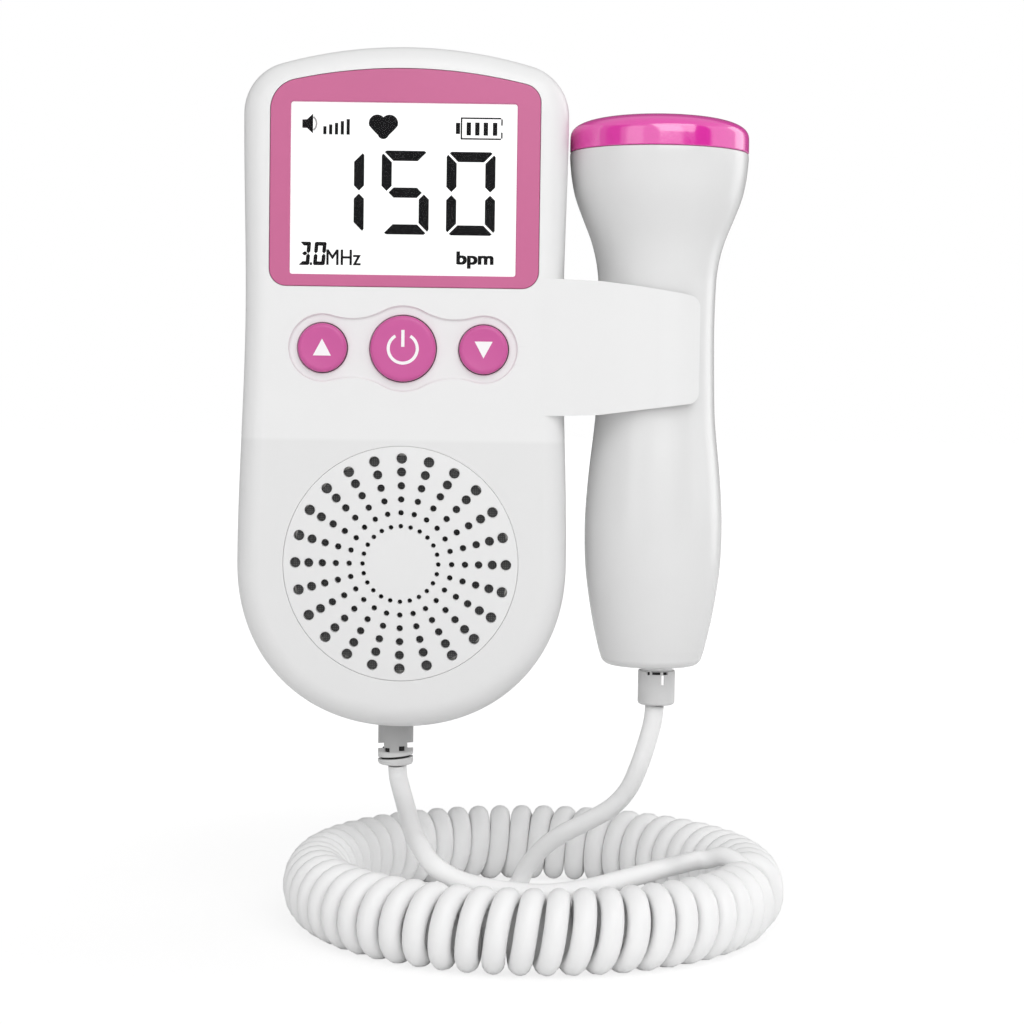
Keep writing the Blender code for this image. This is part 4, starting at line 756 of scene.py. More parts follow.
def sleeved_cell():
    """Battery sleeve in two tones, scuffed here and there."""
    made, tree, shader = new_material("cell_sleeve")
    coordinates = object_coordinates(tree)
    band = spread(tree, height_of(tree, coordinates), 0.0, 1.0, *map(level, CELL_TONE_EDGE))
    scuffs = spread(tree, noise(tree, coordinates, 400.0, 4.0), 0.0, 0.25, 0.45, 0.8)
    tones = blended(tree, band, (0.52, 0.36, 0.10), (0.030, 0.035, 0.050))
    feed(tree, shader, {
        "Base Color": blended(tree, scuffs, tones, (0.25, 0.25, 0.26)),
        "Roughness": spread(tree, noise(tree, coordinates, 90.0), 0.22, 0.34),
        "Metallic": 0.35,
    })
    return made


def cord_grey():
    """Satin cord jacket with a fine grain and a slight mottle."""
    made, tree, shader = new_material("cord_jacket")
    coordinates = object_coordinates(tree)
    broad = noise(tree, coordinates, 120.0, 3.0)
    feed(tree, shader, {
        "Base Color": blended(tree, spread(tree, broad, 0.0, 1.0), grey(0.89), grey(0.92)),
        "Roughness": spread(tree, broad, 0.40, 0.48),
        "Normal": bump(tree, noise(tree, coordinates, 2200.0, 3.0), 0.5, 0.000012),
    })
    return made


def make_materials():
    case_white = moulded("case_white", grey(0.83), 0.34)
    gland_grey = moulded("gland_grey", grey(0.45), 0.45, 1000.0, 0.00003, 0.03)
    return {
        # The case's face is painted 6 % darker below a height: painted shade for the dimmer light on its
        # lower face
        "shell": recoloured_below(case_white, CASE_SHADE_EDGE, shade_of(grey(0.83), 0.94)),
        "grille": moulded("grille_white", grey(0.80), 0.34),
        "probe": moulded("probe_white", grey(0.765), 0.20),
        "button": moulded("key_pink", (0.590, 0.092, 0.325), 0.34, mottle=0.02),
        "bezel": moulded("bezel_pink", (0.578, 0.130, 0.292), 0.30, mottle=0.02),
        "face": moulded("face_pink", (0.80, 0.028, 0.40), 0.12, mottle=0.015, specular=1.0, ior=1.75),
        "lens": clear_plastic(),
        "display": display_white(),
        "segment": moulded("segment_ink", (0.004, 0.004, 0.005), 0.60, mottle=0.2, specular=0.08),
        "faint": moulded("segment_faint", grey(0.42), 0.60, mottle=0.05, specular=0.1),
        "icon": moulded("icon_ink", (0.93, 0.90, 0.92), 0.45),
        "inner": moulded("inner_white", (0.78, 0.78, 0.76), 0.50, mottle=0.03),
        "board": circuit_green(),
        "black": moulded("part_black", grey(0.02), 0.45, mottle=0.15),
        "cloth": woven("dust_cloth", grey(0.16)),
        "steel": brushed("plated_steel", (0.62, 0.61, 0.59), 0.28),
        "magnet": brushed("magnet_plate", (0.32, 0.32, 0.33), 0.40, "X"),
        "cone": moulded("cone_paper", grey(0.05), 0.85, 500.0, 0.0001, 0.2),
        "cell": sleeved_cell(),
        "ceramic": moulded("crystal_ceramic", (0.55, 0.45, 0.30), 0.55, 900.0, 0.00002, 0.06),
        "backing": moulded("backing_rubber", grey(0.08), 0.85, 600.0, 0.00008, 0.12),
        "gland": recoloured_below(gland_grey, GLAND_TONE_EDGE, grey(0.70), True),
        "pale_gland": moulded("gland_pale", grey(0.66), 0.45, 1000.0, 0.00003, 0.03),
        # Dark plates in the glands' pockets and groove: painted shade
        "dark": moulded("painted_slot_shade", grey(0.03), 0.8, mottle=0.2, specular=0.2),
        "neck": moulded("neck_white", grey(0.90), 0.40, mottle=0.01),
        "cord": cord_grey(),
    }


# Hand unit

def case_half(name, front, back):
    """Solid of the unit between two depths, not yet hollowed."""
    shell = face_slab(name, unit_outline(), -UNIT_DEPTH, 0, EDGE_RADIUS, 0.0, 8)
    reach = UNIT_HEIGHT + OVERRUN
    trim = box("split", (-reach, front, level(-OVERRUN)), (reach, back, level(reach)))
    return cut(shell, trim)


def hollow():
    """Room inside the case, one wall in from its outside."""
    return face_slab("hollow", unit_outline(), INNER_FRONT_Y, -WALL, EDGE_RADIUS - WALL, WALL, 3)


def gland_hole():
    ends = [(GLAND_X, GLAND_Y, level(height)) for height in (-OVERRUN, WALL + OVERRUN)]
    return rod("gland_hole", *ends, UNIT_GLAND_RADIUS - GAP)


# Front view of the clip band in millimetres
BAND_TOP = [(25.0, 92.0), (30.4, 91.95), (39.9, 91.55), (48.0, 90.6), (56.2, 89.35), (58.2, 88.9)]
BAND_FOOT = [(53.9, 66.45), (47.8, 65.65), (39.8, 64.55), (32.3, 64.25), (25.0, 64.25)]
BAND_REACH = 60.1
BAND_CORNER = 2.4
BAND_TOP_SLOPE = 0.2
BAND_FOOT_SLOPE = 0.14


def band_outline():
    """Front view of the clip band, which narrows towards a round-cornered tip."""
    x = BAND_REACH - BAND_CORNER
    top = BAND_TOP[-1][1] - (x - BAND_TOP[-1][0]) * BAND_TOP_SLOPE
    foot = BAND_FOOT[0][1] + (x - BAND_FOOT[0][0]) * BAND_FOOT_SLOPE
    points = BAND_TOP[:-1] + arc((x, top - BAND_CORNER), BAND_CORNER, radians(78), 0, 8)
    points += arc((x, foot + BAND_CORNER), BAND_CORNER, 0, radians(-80), 8) + BAND_FOOT
    return [(x / 1000, h / 1000) for x, h in points]


def clip_angle(y, radius):
    """Angle at which a circle round the probe's axis meets a depth on the unit's side."""
    return pi - asin((y - PROBE_Y) / radius)


def clip_tip(angle, start):
    middle = (CLIP_INNER + CLIP_OUTER) / 2
    centre = (PROBE_X + middle * cos(angle), PROBE_Y + middle * sin(angle))
    return arc(centre, (CLIP_OUTER - CLIP_INNER) / 2, start, start + pi, 8)[1:-1]


# Plan of the front arm's face where it leaves the unit
FRONT_ARM_FACE = [
    (0.0255, -0.0314), (0.0272, -0.03185), (0.0290, -0.03203), (0.0310, -0.03210), (0.0360, -0.0323),
    (0.0410, -0.03255), (0.0470, -0.03274),
]
REAR_ARM_ROOT = 0.0270


def front_arm_plan():
    """Plan of the front arm: off the unit's face, along its line and round the front of the probe."""
    centre = (PROBE_X, PROBE_Y)
    seam = SEAM_Y - SEAM_GAP / 2
    back = PROBE_Y - CLIP_INNER
    joint = -acos((PROBE_Y - back) / CLIP_OUTER) - pi / 2
    points = FRONT_ARM_FACE + arc(centre, CLIP_OUTER, radians(-96), FRONT_TIP_ANGLE, 12)
    points += clip_tip(FRONT_TIP_ANGLE, FRONT_TIP_ANGLE)
    points += arc(centre, CLIP_INNER, FRONT_TIP_ANGLE, clip_angle(seam, CLIP_INNER) - pi * 2, 36)
    points += arc(centre, CLIP_OUTER, clip_angle(seam, CLIP_OUTER) - pi * 2, joint, 20)
    points += [(0.0345, back), (0.0320, back + 0.0004), (0.0300, back + 0.0016), (0.0255, back + 0.0020)]
    return points


def rear_arm_plan():
    """Plan of the rear arm: off the unit's flank and round the rear of the probe."""
    centre = (PROBE_X, PROBE_Y)
    seam = SEAM_Y + SEAM_GAP / 2
    front = REAR_PLATE_Y - REAR_PLATE_THICKNESS
    points = [(REAR_ARM_ROOT, front)]
    points += arc(centre, CLIP_OUTER, clip_angle(front, CLIP_OUTER), clip_angle(seam, CLIP_OUTER), 8)
    points += arc(centre, CLIP_INNER, clip_angle(seam, CLIP_INNER), REAR_TIP_ANGLE, 24)
    points += clip_tip(REAR_TIP_ANGLE, REAR_TIP_ANGLE + pi)
    points += arc(centre, CLIP_OUTER, REAR_TIP_ANGLE, clip_angle(REAR_PLATE_Y, CLIP_OUTER), 6)
    return points + [(REAR_ARM_ROOT, REAR_PLATE_Y)]


def clip_arm(name, plan):
    arm = plan_slab(name, plan, ARM_FOOT - OVERRUN, ARM_TOP + OVERRUN)
    cut(arm, face_slab(name + "_trim", band_outline(), FRONT_Y - OVERRUN, OVERRUN), "INTERSECT")
    return rounded_edges(arm, ARM_EDGE, 4)


def key_recess():
    """Cutter for the lobed recess: a rounded rim, a short wall and a filleted floor."""
    sections = [
        (-OVERRUN, 0.00022), (-0.00001, 0.00022), (0.00005, 0.00011), (0.00014, 0.00003), (0.00024, 0.0),
        (0.00038, -0.00003), (0.00050, -0.00013), (0.00057, -0.00028), (LOBE_DEPTH, -0.0005),
    ]
    return lofted("key_recess", [(FRONT_Y + depth, lobed_outline(grow)) for depth, grow in sections])


def build_front_shell(m):
    shell = case_half("front_case", SEAM_Y - SEAM_GAP / 2, OVERRUN)
    cut(shell, clip_arm("front_arm", front_arm_plan()), "UNION")
    cut(shell, hollow())
    through = (FRONT_Y - OVERRUN, INNER_FRONT_Y + OVERRUN)
    cut(shell, face_slab("bezel_seat", arched_box(FINE_GAP * 1.2), through[0], FRONT_Y + BEZEL_SEAT))
    cut(shell, key_recess())
    grille = [(0, y, level(SPEAKER_HEIGHT)) for y in through]
    cut(shell, rod("grille_hole", *grille, GRILLE_RADIUS + FINE_GAP / 2, 144))
    lens = rounded_box(VIEW_HALF_WIDTH + LENS_SEAT, VIEW_BOTTOM - LENS_SEAT, VIEW_TOP + LENS_SEAT,
                       LENS_SEAT_CORNER)
    holes = [face_slab("lens_opening", lens, *through)]
    for name, x, radius in KEYS:
        wide = radius + KEY_GAP
        profile = [(0, -OVERRUN), (wide, -OVERRUN), (wide, LOBE_DEPTH - 0.00001),
                   (radius + 0.00018, LOBE_DEPTH + 0.0001), (radius + KEY_GAP / 2, WALL + OVERRUN),
                   (0, WALL + OVERRUN)]
        holes.append(turned(name + "_hole", profile, 72, facing_out(x, FRONT_Y, KEY_HEIGHT)))
    cut(shell, joined("front_openings", holes))
    cut(shell, gland_hole())
    shaded(shell, m["shell"])
    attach(shell, "unit")
    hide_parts("front_shell")


def door_outline(grow=0.0):
    half = DOOR_HALF_WIDTH + grow
    low = HINGE_HEIGHT - HINGE_RADIUS - grow
    x = half - DOOR_CORNER
    high = DOOR_TOP + grow - DOOR_CORNER
    points = [(-half, low), (half, low)]
    for turn, centre in enumerate([(x, high), (-x, high)]):
        points += arc(centre, DOOR_CORNER, pi / 2 * turn, pi / 2 * (turn + 1), 8)
    return points


def barrel(name, radius, pin, half, reach):
    """Hinge barrel with its two pins, along X."""
    profile = [(0, reach), (pin, reach), (pin, half), (radius, half), (radius, -half), (pin, -half),
               (pin, -reach), (0, -reach)]
    place = Matrix.Translation((0, -HINGE_RADIUS, level(HINGE_HEIGHT)))
    return turned(name, profile, 32, place @ Matrix.Rotation(pi / 2, 4, "Y"))


def build_rear_shell(m):
    shell = case_half("rear_case", FRONT_Y - OVERRUN, SEAM_Y + SEAM_GAP / 2)
    cut(shell, clip_arm("rear_arm", rear_arm_plan()), "UNION")
    cut(shell, hollow())
    inner = -WALL + WALL_LAP
    tub_width = TUB_HALF_WIDTH + TUB_SIDE_WALL
    solids = [box("tub", (-tub_width, TUB_FLOOR_Y - TUB_FLOOR_WALL, level(TUB_BOTTOM - TUB_END_WALL)),
                  (tub_width, inner, level(TUB_TOP + TUB_END_WALL)))]
    heads = []
    bore = SCREW_HEAD_RADIUS + GAP
    mouth = SCREW_HEAD_RADIUS + GAP * 2
    profile = [(0, -SCREW_SEAT_DEPTH), (bore, -SCREW_SEAT_DEPTH), (bore, -GAP), (mouth, 0.00001),
               (mouth, OVERRUN), (0, OVERRUN)]
    for x, height in SCREW_PLACES:
        z = level(height)
        solids.append(rod("boss", (x, SEAM_Y + SEAM_GAP / 2, z), (x, inner, z), BOSS_RADIUS))
        heads.append(turned("head_bore", profile, 40, facing_out(x, 0, height)))
    cut(shell, joined("rear_solids", solids), "UNION")
    cut(shell, box("tub_room", (-TUB_HALF_WIDTH, TUB_FLOOR_Y, level(TUB_BOTTOM)),
                   (TUB_HALF_WIDTH, OVERRUN, level(TUB_TOP))))
    opening = face_slab("door_opening", door_outline(FINE_GAP * 2), -DOOR_THICKNESS - GAP, OVERRUN)
    cut(shell, joined("rear_head_bores", heads + [opening]))
    cut(shell, barrel("hinge_room", HINGE_RADIUS + GAP, PIN_RADIUS + GAP, DOOR_HALF_WIDTH + GAP,
                      DOOR_HALF_WIDTH + PIN_LENGTH + GAP))
    notch = bmesh.new()
    bmesh.ops.create_uvsphere(notch, u_segments=64, v_segments=48, radius=NOTCH_SPHERE)
    bmesh.ops.translate(notch, vec=(0, NOTCH_SPHERE - NOTCH_DEPTH, level(DOOR_TOP)), verts=notch.verts)
    cut(shell, mesh_piece("thumb_notch", notch))
    cut(shell, gland_hole())
    shaded(shell, m["shell"])
    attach(shell, "unit")
    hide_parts("rear_shell")


def build_display(m):
    bezel = face_slab("bezel_frame", arched_box(), FRONT_Y - 0.00002, FRONT_Y + BEZEL_THICKNESS,
                      BEZEL_EDGE)
    loft = []
    for depth, grow in ((-OVERRUN, 0.00018), (-0.00003, 0.00018), (0.00006, 0.00006), (0.00018, 0.0),
                        (OVERRUN, 0.0)):
        outline = rounded_box(VIEW_HALF_WIDTH + grow, VIEW_BOTTOM - grow, VIEW_TOP + grow,
                              VIEW_CORNER + grow)
        loft.append((FRONT_Y + depth, [(x + VIEW_X, h) for x, h in outline]))
    cut(bezel, lofted("view_opening", loft))
    shaded(bezel, m["bezel"])
    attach(bezel, "unit")
    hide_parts("display_bezel")
    view = rounded_box(VIEW_HALF_WIDTH, VIEW_BOTTOM, VIEW_TOP, VIEW_CORNER)
    outline = [(x * (1 + LENS_LAP / VIEW_HALF_WIDTH) + VIEW_X, h) for x, h in view]
    lens = face_slab("display_lens", outline, LENS_Y, LENS_Y + LENS_THICKNESS)
    shaded(lens, m["lens"])
    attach(lens, "unit")
    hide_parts("display_window")


def segment_shapes(x0, h0, width, height, thick, gap, lit, slant=0.0):
    """Bars of one seven-segment digit, in millimetres, named a to g round from the top."""
    w, h, t, g = width, height, thick, gap
    half = t / 2
    mid = h / 2
    tip = t * 0.15
    soft = t * 0.34
    upper = [(g + tip, h - tip), (g + soft, h), (w - g - soft, h), (w - g - tip, h - tip),
             (w - g - t, h - t), (g + t, h - t)]
    side = [(tip, h - g - tip), (t, h - g - t), (t, mid + g + half), (half, mid + g),
            (0, mid + g + half), (0, h - g - soft)]
    end = t * 0.70
    bars = {
        "a": upper,
        "d": [(x, h - y) for x, y in upper],
        "g": [(end, mid), (end + half, mid + half), (w - end - half, mid + half), (w - end, mid),
              (w - end - half, mid - half), (end + half, mid - half)],
        "f": side,
        "b": [(w - x, y) for x, y in side],
        "e": [(x, h - y) for x, y in side],
        "c": [(w - x, h - y) for x, y in side],
    }
    return [[(x0 + x + slant * y, h0 + y) for x, y in bars[name]] for name in lit]


def quad(x0, x1, h0, h1):
    return [(x0, h0), (x1, h0), (x1, h1), (x0, h1)]


# Print on the display, in millimetres from the unit's middle and its lowest point
PRINT_X = -0.3
PRINT_RISE = -0.25
HEART_X = -4.3
DIGITS = [
    (8.58, 100.76, 9.91, 16.85, 2.05, 0.30, "abcdef"),
    (-4.56, 100.80, 9.63, 16.88, 2.05, 0.30, "afgcd"),
    (-17.7, 100.80, 9.6, 16.88, 2.05, 0.30, "bc"),
    (-21.25, 94.38, 2.20, 4.70, 0.78, 0.0, "abgcd", 0.08),
    (-18.30, 94.38, 2.40, 4.70, 0.76, 0.0, "abcdef", 0.08),
]
VOLUME_BARS = [(-16.46, 122.40), (-15.29, 122.77), (-14.11, 123.10), (-12.93, 123.47), (-11.75, 123.89)]
GAUGE_BARS = [12.53, 14.26, 15.98, 17.85]
PRINT_Y = PANEL_Y - 0.00003

# Lettering is printed several times side by side, shifted by these shares of its weight
PRINT_SHIFTS = [(0, 0), (0.5, 0.25), (1, 0), (0, 0.5), (1, 0.5), (0.5, 0)]
LETTER_DEPTH = 0.02
LETTER_STEP = 0.00002


def heart_shape():
    """Two round lobes drawn down with full sides to a rounded tip."""
    lobe, tip, across, upper, lower = 1.72, 1.15, 1.24, 123.16, 121.12
    drop = atan2(upper - lower, across) - acos((lobe - tip) / sqrt(across ** 2 + (upper - lower) ** 2))
    notch = pi - acos(across / lobe)
    right = arc((across, upper), lobe, notch, drop, 18)
    end = (tip * cos(drop), lower + tip * sin(drop))
    start = right[-1]
    for share in (0.25, 0.5, 0.75):
        bulge = 0.05 * sin(pi * share)
        right.append((start[0] + (end[0] - start[0]) * share + bulge,
                      start[1] + (end[1] - start[1]) * share - bulge * 0.4))
    right += arc((0, lower), tip, drop, -pi / 2, 6)
    return [(HEART_X + x, h) for x, h in right + mirrored(right[1:-1])]


def display_shapes():
    """The digits, the speaker sign with its bars, the heart and the battery gauge."""
    shapes = [bar for digit in DIGITS for bar in segment_shapes(*digit)]
    shapes.append(quad(-18.93, -18.47, 94.38, 94.92))
    shapes.append([(-20.71, 122.02), (-19.75, 122.00), (-18.54, 120.90), (-18.54, 124.90),
                   (-19.75, 123.75), (-20.71, 123.70)])
    shapes += [quad(x, x + 0.65, 120.76, top) for x, top in VOLUME_BARS]
    shapes.append(heart_shape())
    shapes.append(quad(10.36, 11.22, 121.20, 123.45))
    line = 0.3
    left, right, low, high = 11.35, 19.83, 120.10, 124.55
    shapes += [
        quad(left, right - line, high - line, high), quad(left, right - line, low, low + line),
        quad(left, left + line, low + line, high - line), quad(right - line, right, low + line, 121.60),
        quad(right - line, right, 123.00, high - line),
    ]
    shapes += [quad(x, x + 0.90, 120.95, 123.55) for x in GAUGE_BARS]
    return printed_at(shapes)


def wave_shape():
    """Faint sound wave beside the speaker sign."""
    centre = (-19.6, 122.90)
    wave = arc(centre, 1.95, radians(-50), radians(50), 8)
    return printed_at([wave + arc(centre, 1.60, radians(50), radians(-50), 8)])


def printed_at(shapes):
    return [[(x + PRINT_X, h + PRINT_RISE) for x, h in shape] for shape in shapes]


def lettering(name, text, left, right, baseline, top, weight):
    """Plain lettering in Blender's built-in face, fitted between its measured sides and printed
    several times side by side for its weight."""
    data = bpy.data.curves.new(name, "FONT")
    data.body = text
    data.extrude = LETTER_DEPTH
    item = link(bpy.data.objects.new(name, data))
    mesh = evaluated_mesh(item)
    bpy.data.objects.remove(item)
    across = [vert.co.x for vert in mesh.vertices]
    up = [vert.co.y for vert in mesh.vertices]
    low_x, high_x, high_y = min(across), max(across), max(up)
    prints = []
    for turn, (shift, lift) in enumerate(PRINT_SHIFTS):
        copy = mesh.copy()
        for vert in copy.vertices:
            x = left + weight * shift + (vert.co.x - low_x) / (high_x - low_x) * (right - left - weight)
            height = baseline + weight * lift + vert.co.y / high_y * (top - baseline - weight / 2)
            depth = PANEL_Y - LETTER_STEP - (vert.co.z / LETTER_DEPTH + turn * 0.1) * LETTER_STEP
            vert.co = (x / 1000, depth, level(height / 1000))
        prints.append(link(bpy.data.objects.new(f"{name}_{turn}", copy)))
    return joined(name, prints)


def build_segments(m):
    items = [
        plates("digit_bars", display_shapes(), PRINT_Y),
        lettering("frequency_unit", "MHz", -15.89, -8.91, 94.21, 97.34, 0.12),
        lettering("rate_unit", "bpm", 10.48, 18.05, 94.66, 97.30, 0.36),
    ]
    printed = joined("display_segments", items)
    shaded(printed, m["segment"])
    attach(printed, "unit")
    wave = plates("display_wave", wave_shape(), PRINT_Y)
    shaded(wave, m["faint"])
    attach(wave, "unit")


# Key signs in millimetres from the middle of a key
ARROW = [(-1.83, -1.62), (1.83, -1.62), (0, 1.78)]
POWER_RING_RADII = (3.24, 2.62)
POWER_RING_ENDS = (radians(90 - 31), radians(90 - 329))


def key_signs():
    start, end = POWER_RING_ENDS
    outer, inner = POWER_RING_RADII
    ring = arc((0, 0), outer, start, end, 48) + arc((0, 0), inner, end, start, 48)
    return {"up": [ARROW], "down": [[(x, -z) for x, z in ARROW]],
            "power": [ring, quad(-0.33, 0.33, 0.35, 3.75)]}


def build_keys(m):
    signs = key_signs()
    length = WALL + KEY_PROUD
    for name, x, radius in KEYS:
        profile = [(0, 0.00012), (radius * 0.45, 0.00010), (radius * 0.80, 0.00003),
                   (radius - 0.00085, 0.0), (radius - 0.00060, 0.00004), (radius - 0.00035, 0.00014),
                   (radius - 0.00015, 0.00032), (radius - 0.00004, 0.00056), (radius, 0.00085),
                   (radius, length), (0, length)]
        key = turned(name + "_key_cap", profile, 96, facing_out(x, FRONT_Y - KEY_PROUD, KEY_HEIGHT))
        shaded(key, m["button"])
        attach(key, name + "_key")
        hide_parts(name + "_button")
        shapes = [[(x * 1000 + across, KEY_HEIGHT * 1000 + up) for across, up in shape]
                  for shape in signs[name]]
        icon = plates(name + "_icon", shapes, FRONT_Y - KEY_PROUD + 0.00002, 0.00010)
        shaded(icon, m["icon"])
        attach(icon, name + "_key")


def build_grille(m):
    """Slightly domed disc with countersunk holes in spokes."""
    def dome(radius):
        return -GRILLE_DOME * (1 - (radius / GRILLE_RADIUS) ** 3)

    rim = GRILLE_RADIUS - 0.00012
    inner = GRILLE_RADIUS - GRILLE_LIP
    profile = [(rim * k / 28, dome(rim * k / 28)) for k in range(29)]
    profile += [(GRILLE_RADIUS, 0.00014), (GRILLE_RADIUS, WALL + GRILLE_LIP), (inner, WALL + GRILLE_LIP)]
    profile += [(inner * k / 8, GRILLE_PLATE) for k in range(8, -1, -1)]
    disc = turned("grille_disc", profile, 144, facing_out(0, FRONT_Y, SPEAKER_HEIGHT))
    holes = []
    for ring, radius in zip(GRILLE_RING_RADII, GRILLE_HOLE_RADII):
        chamfer = radius * 0.12 + 0.00004
        top = dome(ring)
        end = GRILLE_PLATE + OVERRUN
        profile = [(0, -OVERRUN), (radius + chamfer, -OVERRUN), (radius + chamfer, top),
                   (radius, top + chamfer), (radius, end), (0, end)]
        for spoke in range(GRILLE_SPOKES):
            angle = pi * 2 * spoke / GRILLE_SPOKES
            matrix = facing_out(ring * cos(angle), FRONT_Y, SPEAKER_HEIGHT + ring * sin(angle))
            holes.append(turned("hole", profile, 20, matrix))
    cut(disc, joined("grille_holes", holes))
    shaded(disc, m["grille"], radians(28))
    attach(disc, "unit")
    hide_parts("speaker_grille")


def build_door(m):
    """Battery door with grip grooves and rounded rims."""
    outline = [(x, max(height, HINGE_HEIGHT)) for x, height in door_outline()]
    door = face_slab("door_panel", outline, -DOOR_THICKNESS, 0, 0.0003, 0.0, 3)
    cut(door, barrel("hinge_barrel", HINGE_RADIUS - 0.00002, PIN_RADIUS, DOOR_HALF_WIDTH - 0.0002,
                     DOOR_HALF_WIDTH + PIN_LENGTH), "UNION")
    grooves = []
    for index in range(GRIP_GROOVES):
        height = DOOR_TOP - GRIP_DROP - index * GRIP_PITCH
        half = GRIP_HALF_LENGTH - abs(index - 1.5) * GRIP_TAPER
        outline = rounded_box(half, height - GRIP_HALF_WIDTH, height + GRIP_HALF_WIDTH, 0.00034, 4)
        grooves.append(face_slab("groove", outline, -GRIP_DEPTH, OVERRUN))
    cut(door, joined("grooves", grooves))
    shaded(door, m["shell"])
    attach(door, "door")
    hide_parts("battery_door")


def build_screws(m):
    """Pan heads with a cross recess, seen down their bores."""
    r = SCREW_HEAD_RADIUS
    profile = [(0, 0.0016), (r * 0.5, 0.00150), (r * 0.8, 0.00125), (r * 0.96, 0.00085), (r, 0.0004),
               (r, 0), (0.0011, 0), (0.0011, -0.0100), (0, -0.0109)]
    seat = -SCREW_SEAT_DEPTH + GAP
    for index, (x, height) in enumerate(SCREW_PLACES, start=1):
        screw = turned(f"screw_{index}", profile, 40, facing_out(x, seat, height))
        z = level(height)
        for across, up in ((DRIVE_LENGTH, DRIVE_WIDTH), (DRIVE_WIDTH, DRIVE_LENGTH)):
            cut(screw, box("drive", (x - across, seat + DRIVE_FLOOR, z - up),
                           (x + across, seat + OVERRUN, z + up)))
        shaded(screw, m["steel"])
        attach(screw, "unit")
        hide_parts(f"case_screw_{index}")


# Strain reliefs

def sight_box(name, centre, size, tilt=0.0):
    """Box whose long side runs along the camera's line of sight, so that a slot shows as open."""
    half = Vector(size) / 2
    turn = (Vector(centre) - Vector(CAMERA_PLACE)).to_track_quat("Y", "Z").to_matrix().to_4x4()
    matrix = Matrix.Translation(centre) @ turn @ Matrix.Rotation(tilt, 4, "Y")
    return placed(box(name, -half, half), matrix)


def curved_block(name, centre, inner, outer, across, low, high):
    """Block bent round a gland's axis, between two offsets in x as seen from the front."""
    start, end = (asin(offset / outer) - pi / 2 for offset in across)
    steps = 6
    work = bmesh.new()
    rails = [[work.verts.new((centre[0] + x, centre[1] + y, level(height)))
              for x, y in arc((0, 0), radius, start, end, steps)]
             for radius in (inner, outer) for height in (low, high)]
    rails[2:] = rails[:1:-1]
    for first, second in zip(rails, rails[1:] + rails[:1]):
        for k in range(steps):
            work.faces.new((first[k], first[k + 1], second[k + 1], second[k]))
    for k in (0, steps):
        work.faces.new([rail[k] for rail in rails])
    bmesh.ops.recalc_face_normals(work, faces=work.faces)
    return mesh_piece(name, work)


def pockets(gland, name, centre, radius, places):
    """Shallow pockets in the front of a gland; returns dark plates inside them as one piece, painted
    shade for the pockets' shadow.
    """
    shade_plates = []
    cutters = []
    for across, low, high in places:
        cutters.append(curved_block("pocket", centre, radius - 0.0009, radius + 0.0006, across,
                                    low, high))
        shade_plates.append(curved_block("shade_plate", centre, radius - 0.0011, radius - 0.0004, across,
                                    low - 0.0001, high + 0.0001))
    cut(gland, joined("pockets", cutters))
    return joined(name, shade_plates)


# Details of the unit's gland: side and height of the notches and their size; height and tilt of the
# groove; tilt of the foot; and the pockets' sides, foot and top
UNIT_NOTCHES = [(-1, -0.00575), (1, -0.00541)]
NOTCH_X = 0.0044
NOTCH_SIZE = (0.0039, 0.02, 0.00104)
NOTCH_TILT = radians(-3)
GROOVE_HEIGHT = -0.00785
GROOVE_TILT = radians(-5)
FOOT_TILT = radians(-27)
UNIT_POCKETS = [((-0.00262, -0.00128), -0.00662, -0.00572), ((0.00100, 0.00255), -0.00632, -0.00532)]

# Details of the probe's gland: place and size of the slit, and the pockets' top, sides and lengths
SLIT_X = 0.00103
SLIT_DROP = 0.00295
SLIT_SIZE = (0.00042, 0.02, 0.0020)
POCKET_DROP = 0.00130
PROBE_POCKETS = [((-0.00255, -0.00185), 0.00070), ((-0.00140, 0.00072), 0.00058),
                 ((0.00136, 0.00250), 0.00062)]
NECK_RADIUS = 0.0033
NECK_CORE_RADIUS = 0.0024


def sleeve_foot(radius, foot):
    """Lower end of a gland's profile, with a rounded rim and the cord's bore."""
    bore = CORD_RADIUS + 0.0001
    return [(radius, foot + 0.0006), (radius - 0.0002, foot + 0.0002), (radius - 0.0006, foot),
            (bore, foot), (bore, foot + 0.002), (0, foot + 0.002)]


def band_section(inner, outer, half):
    """Closed section of a band round a gland."""
    return [(inner, -half), (outer, -half), (outer, half), (inner, half), (inner, -half)]


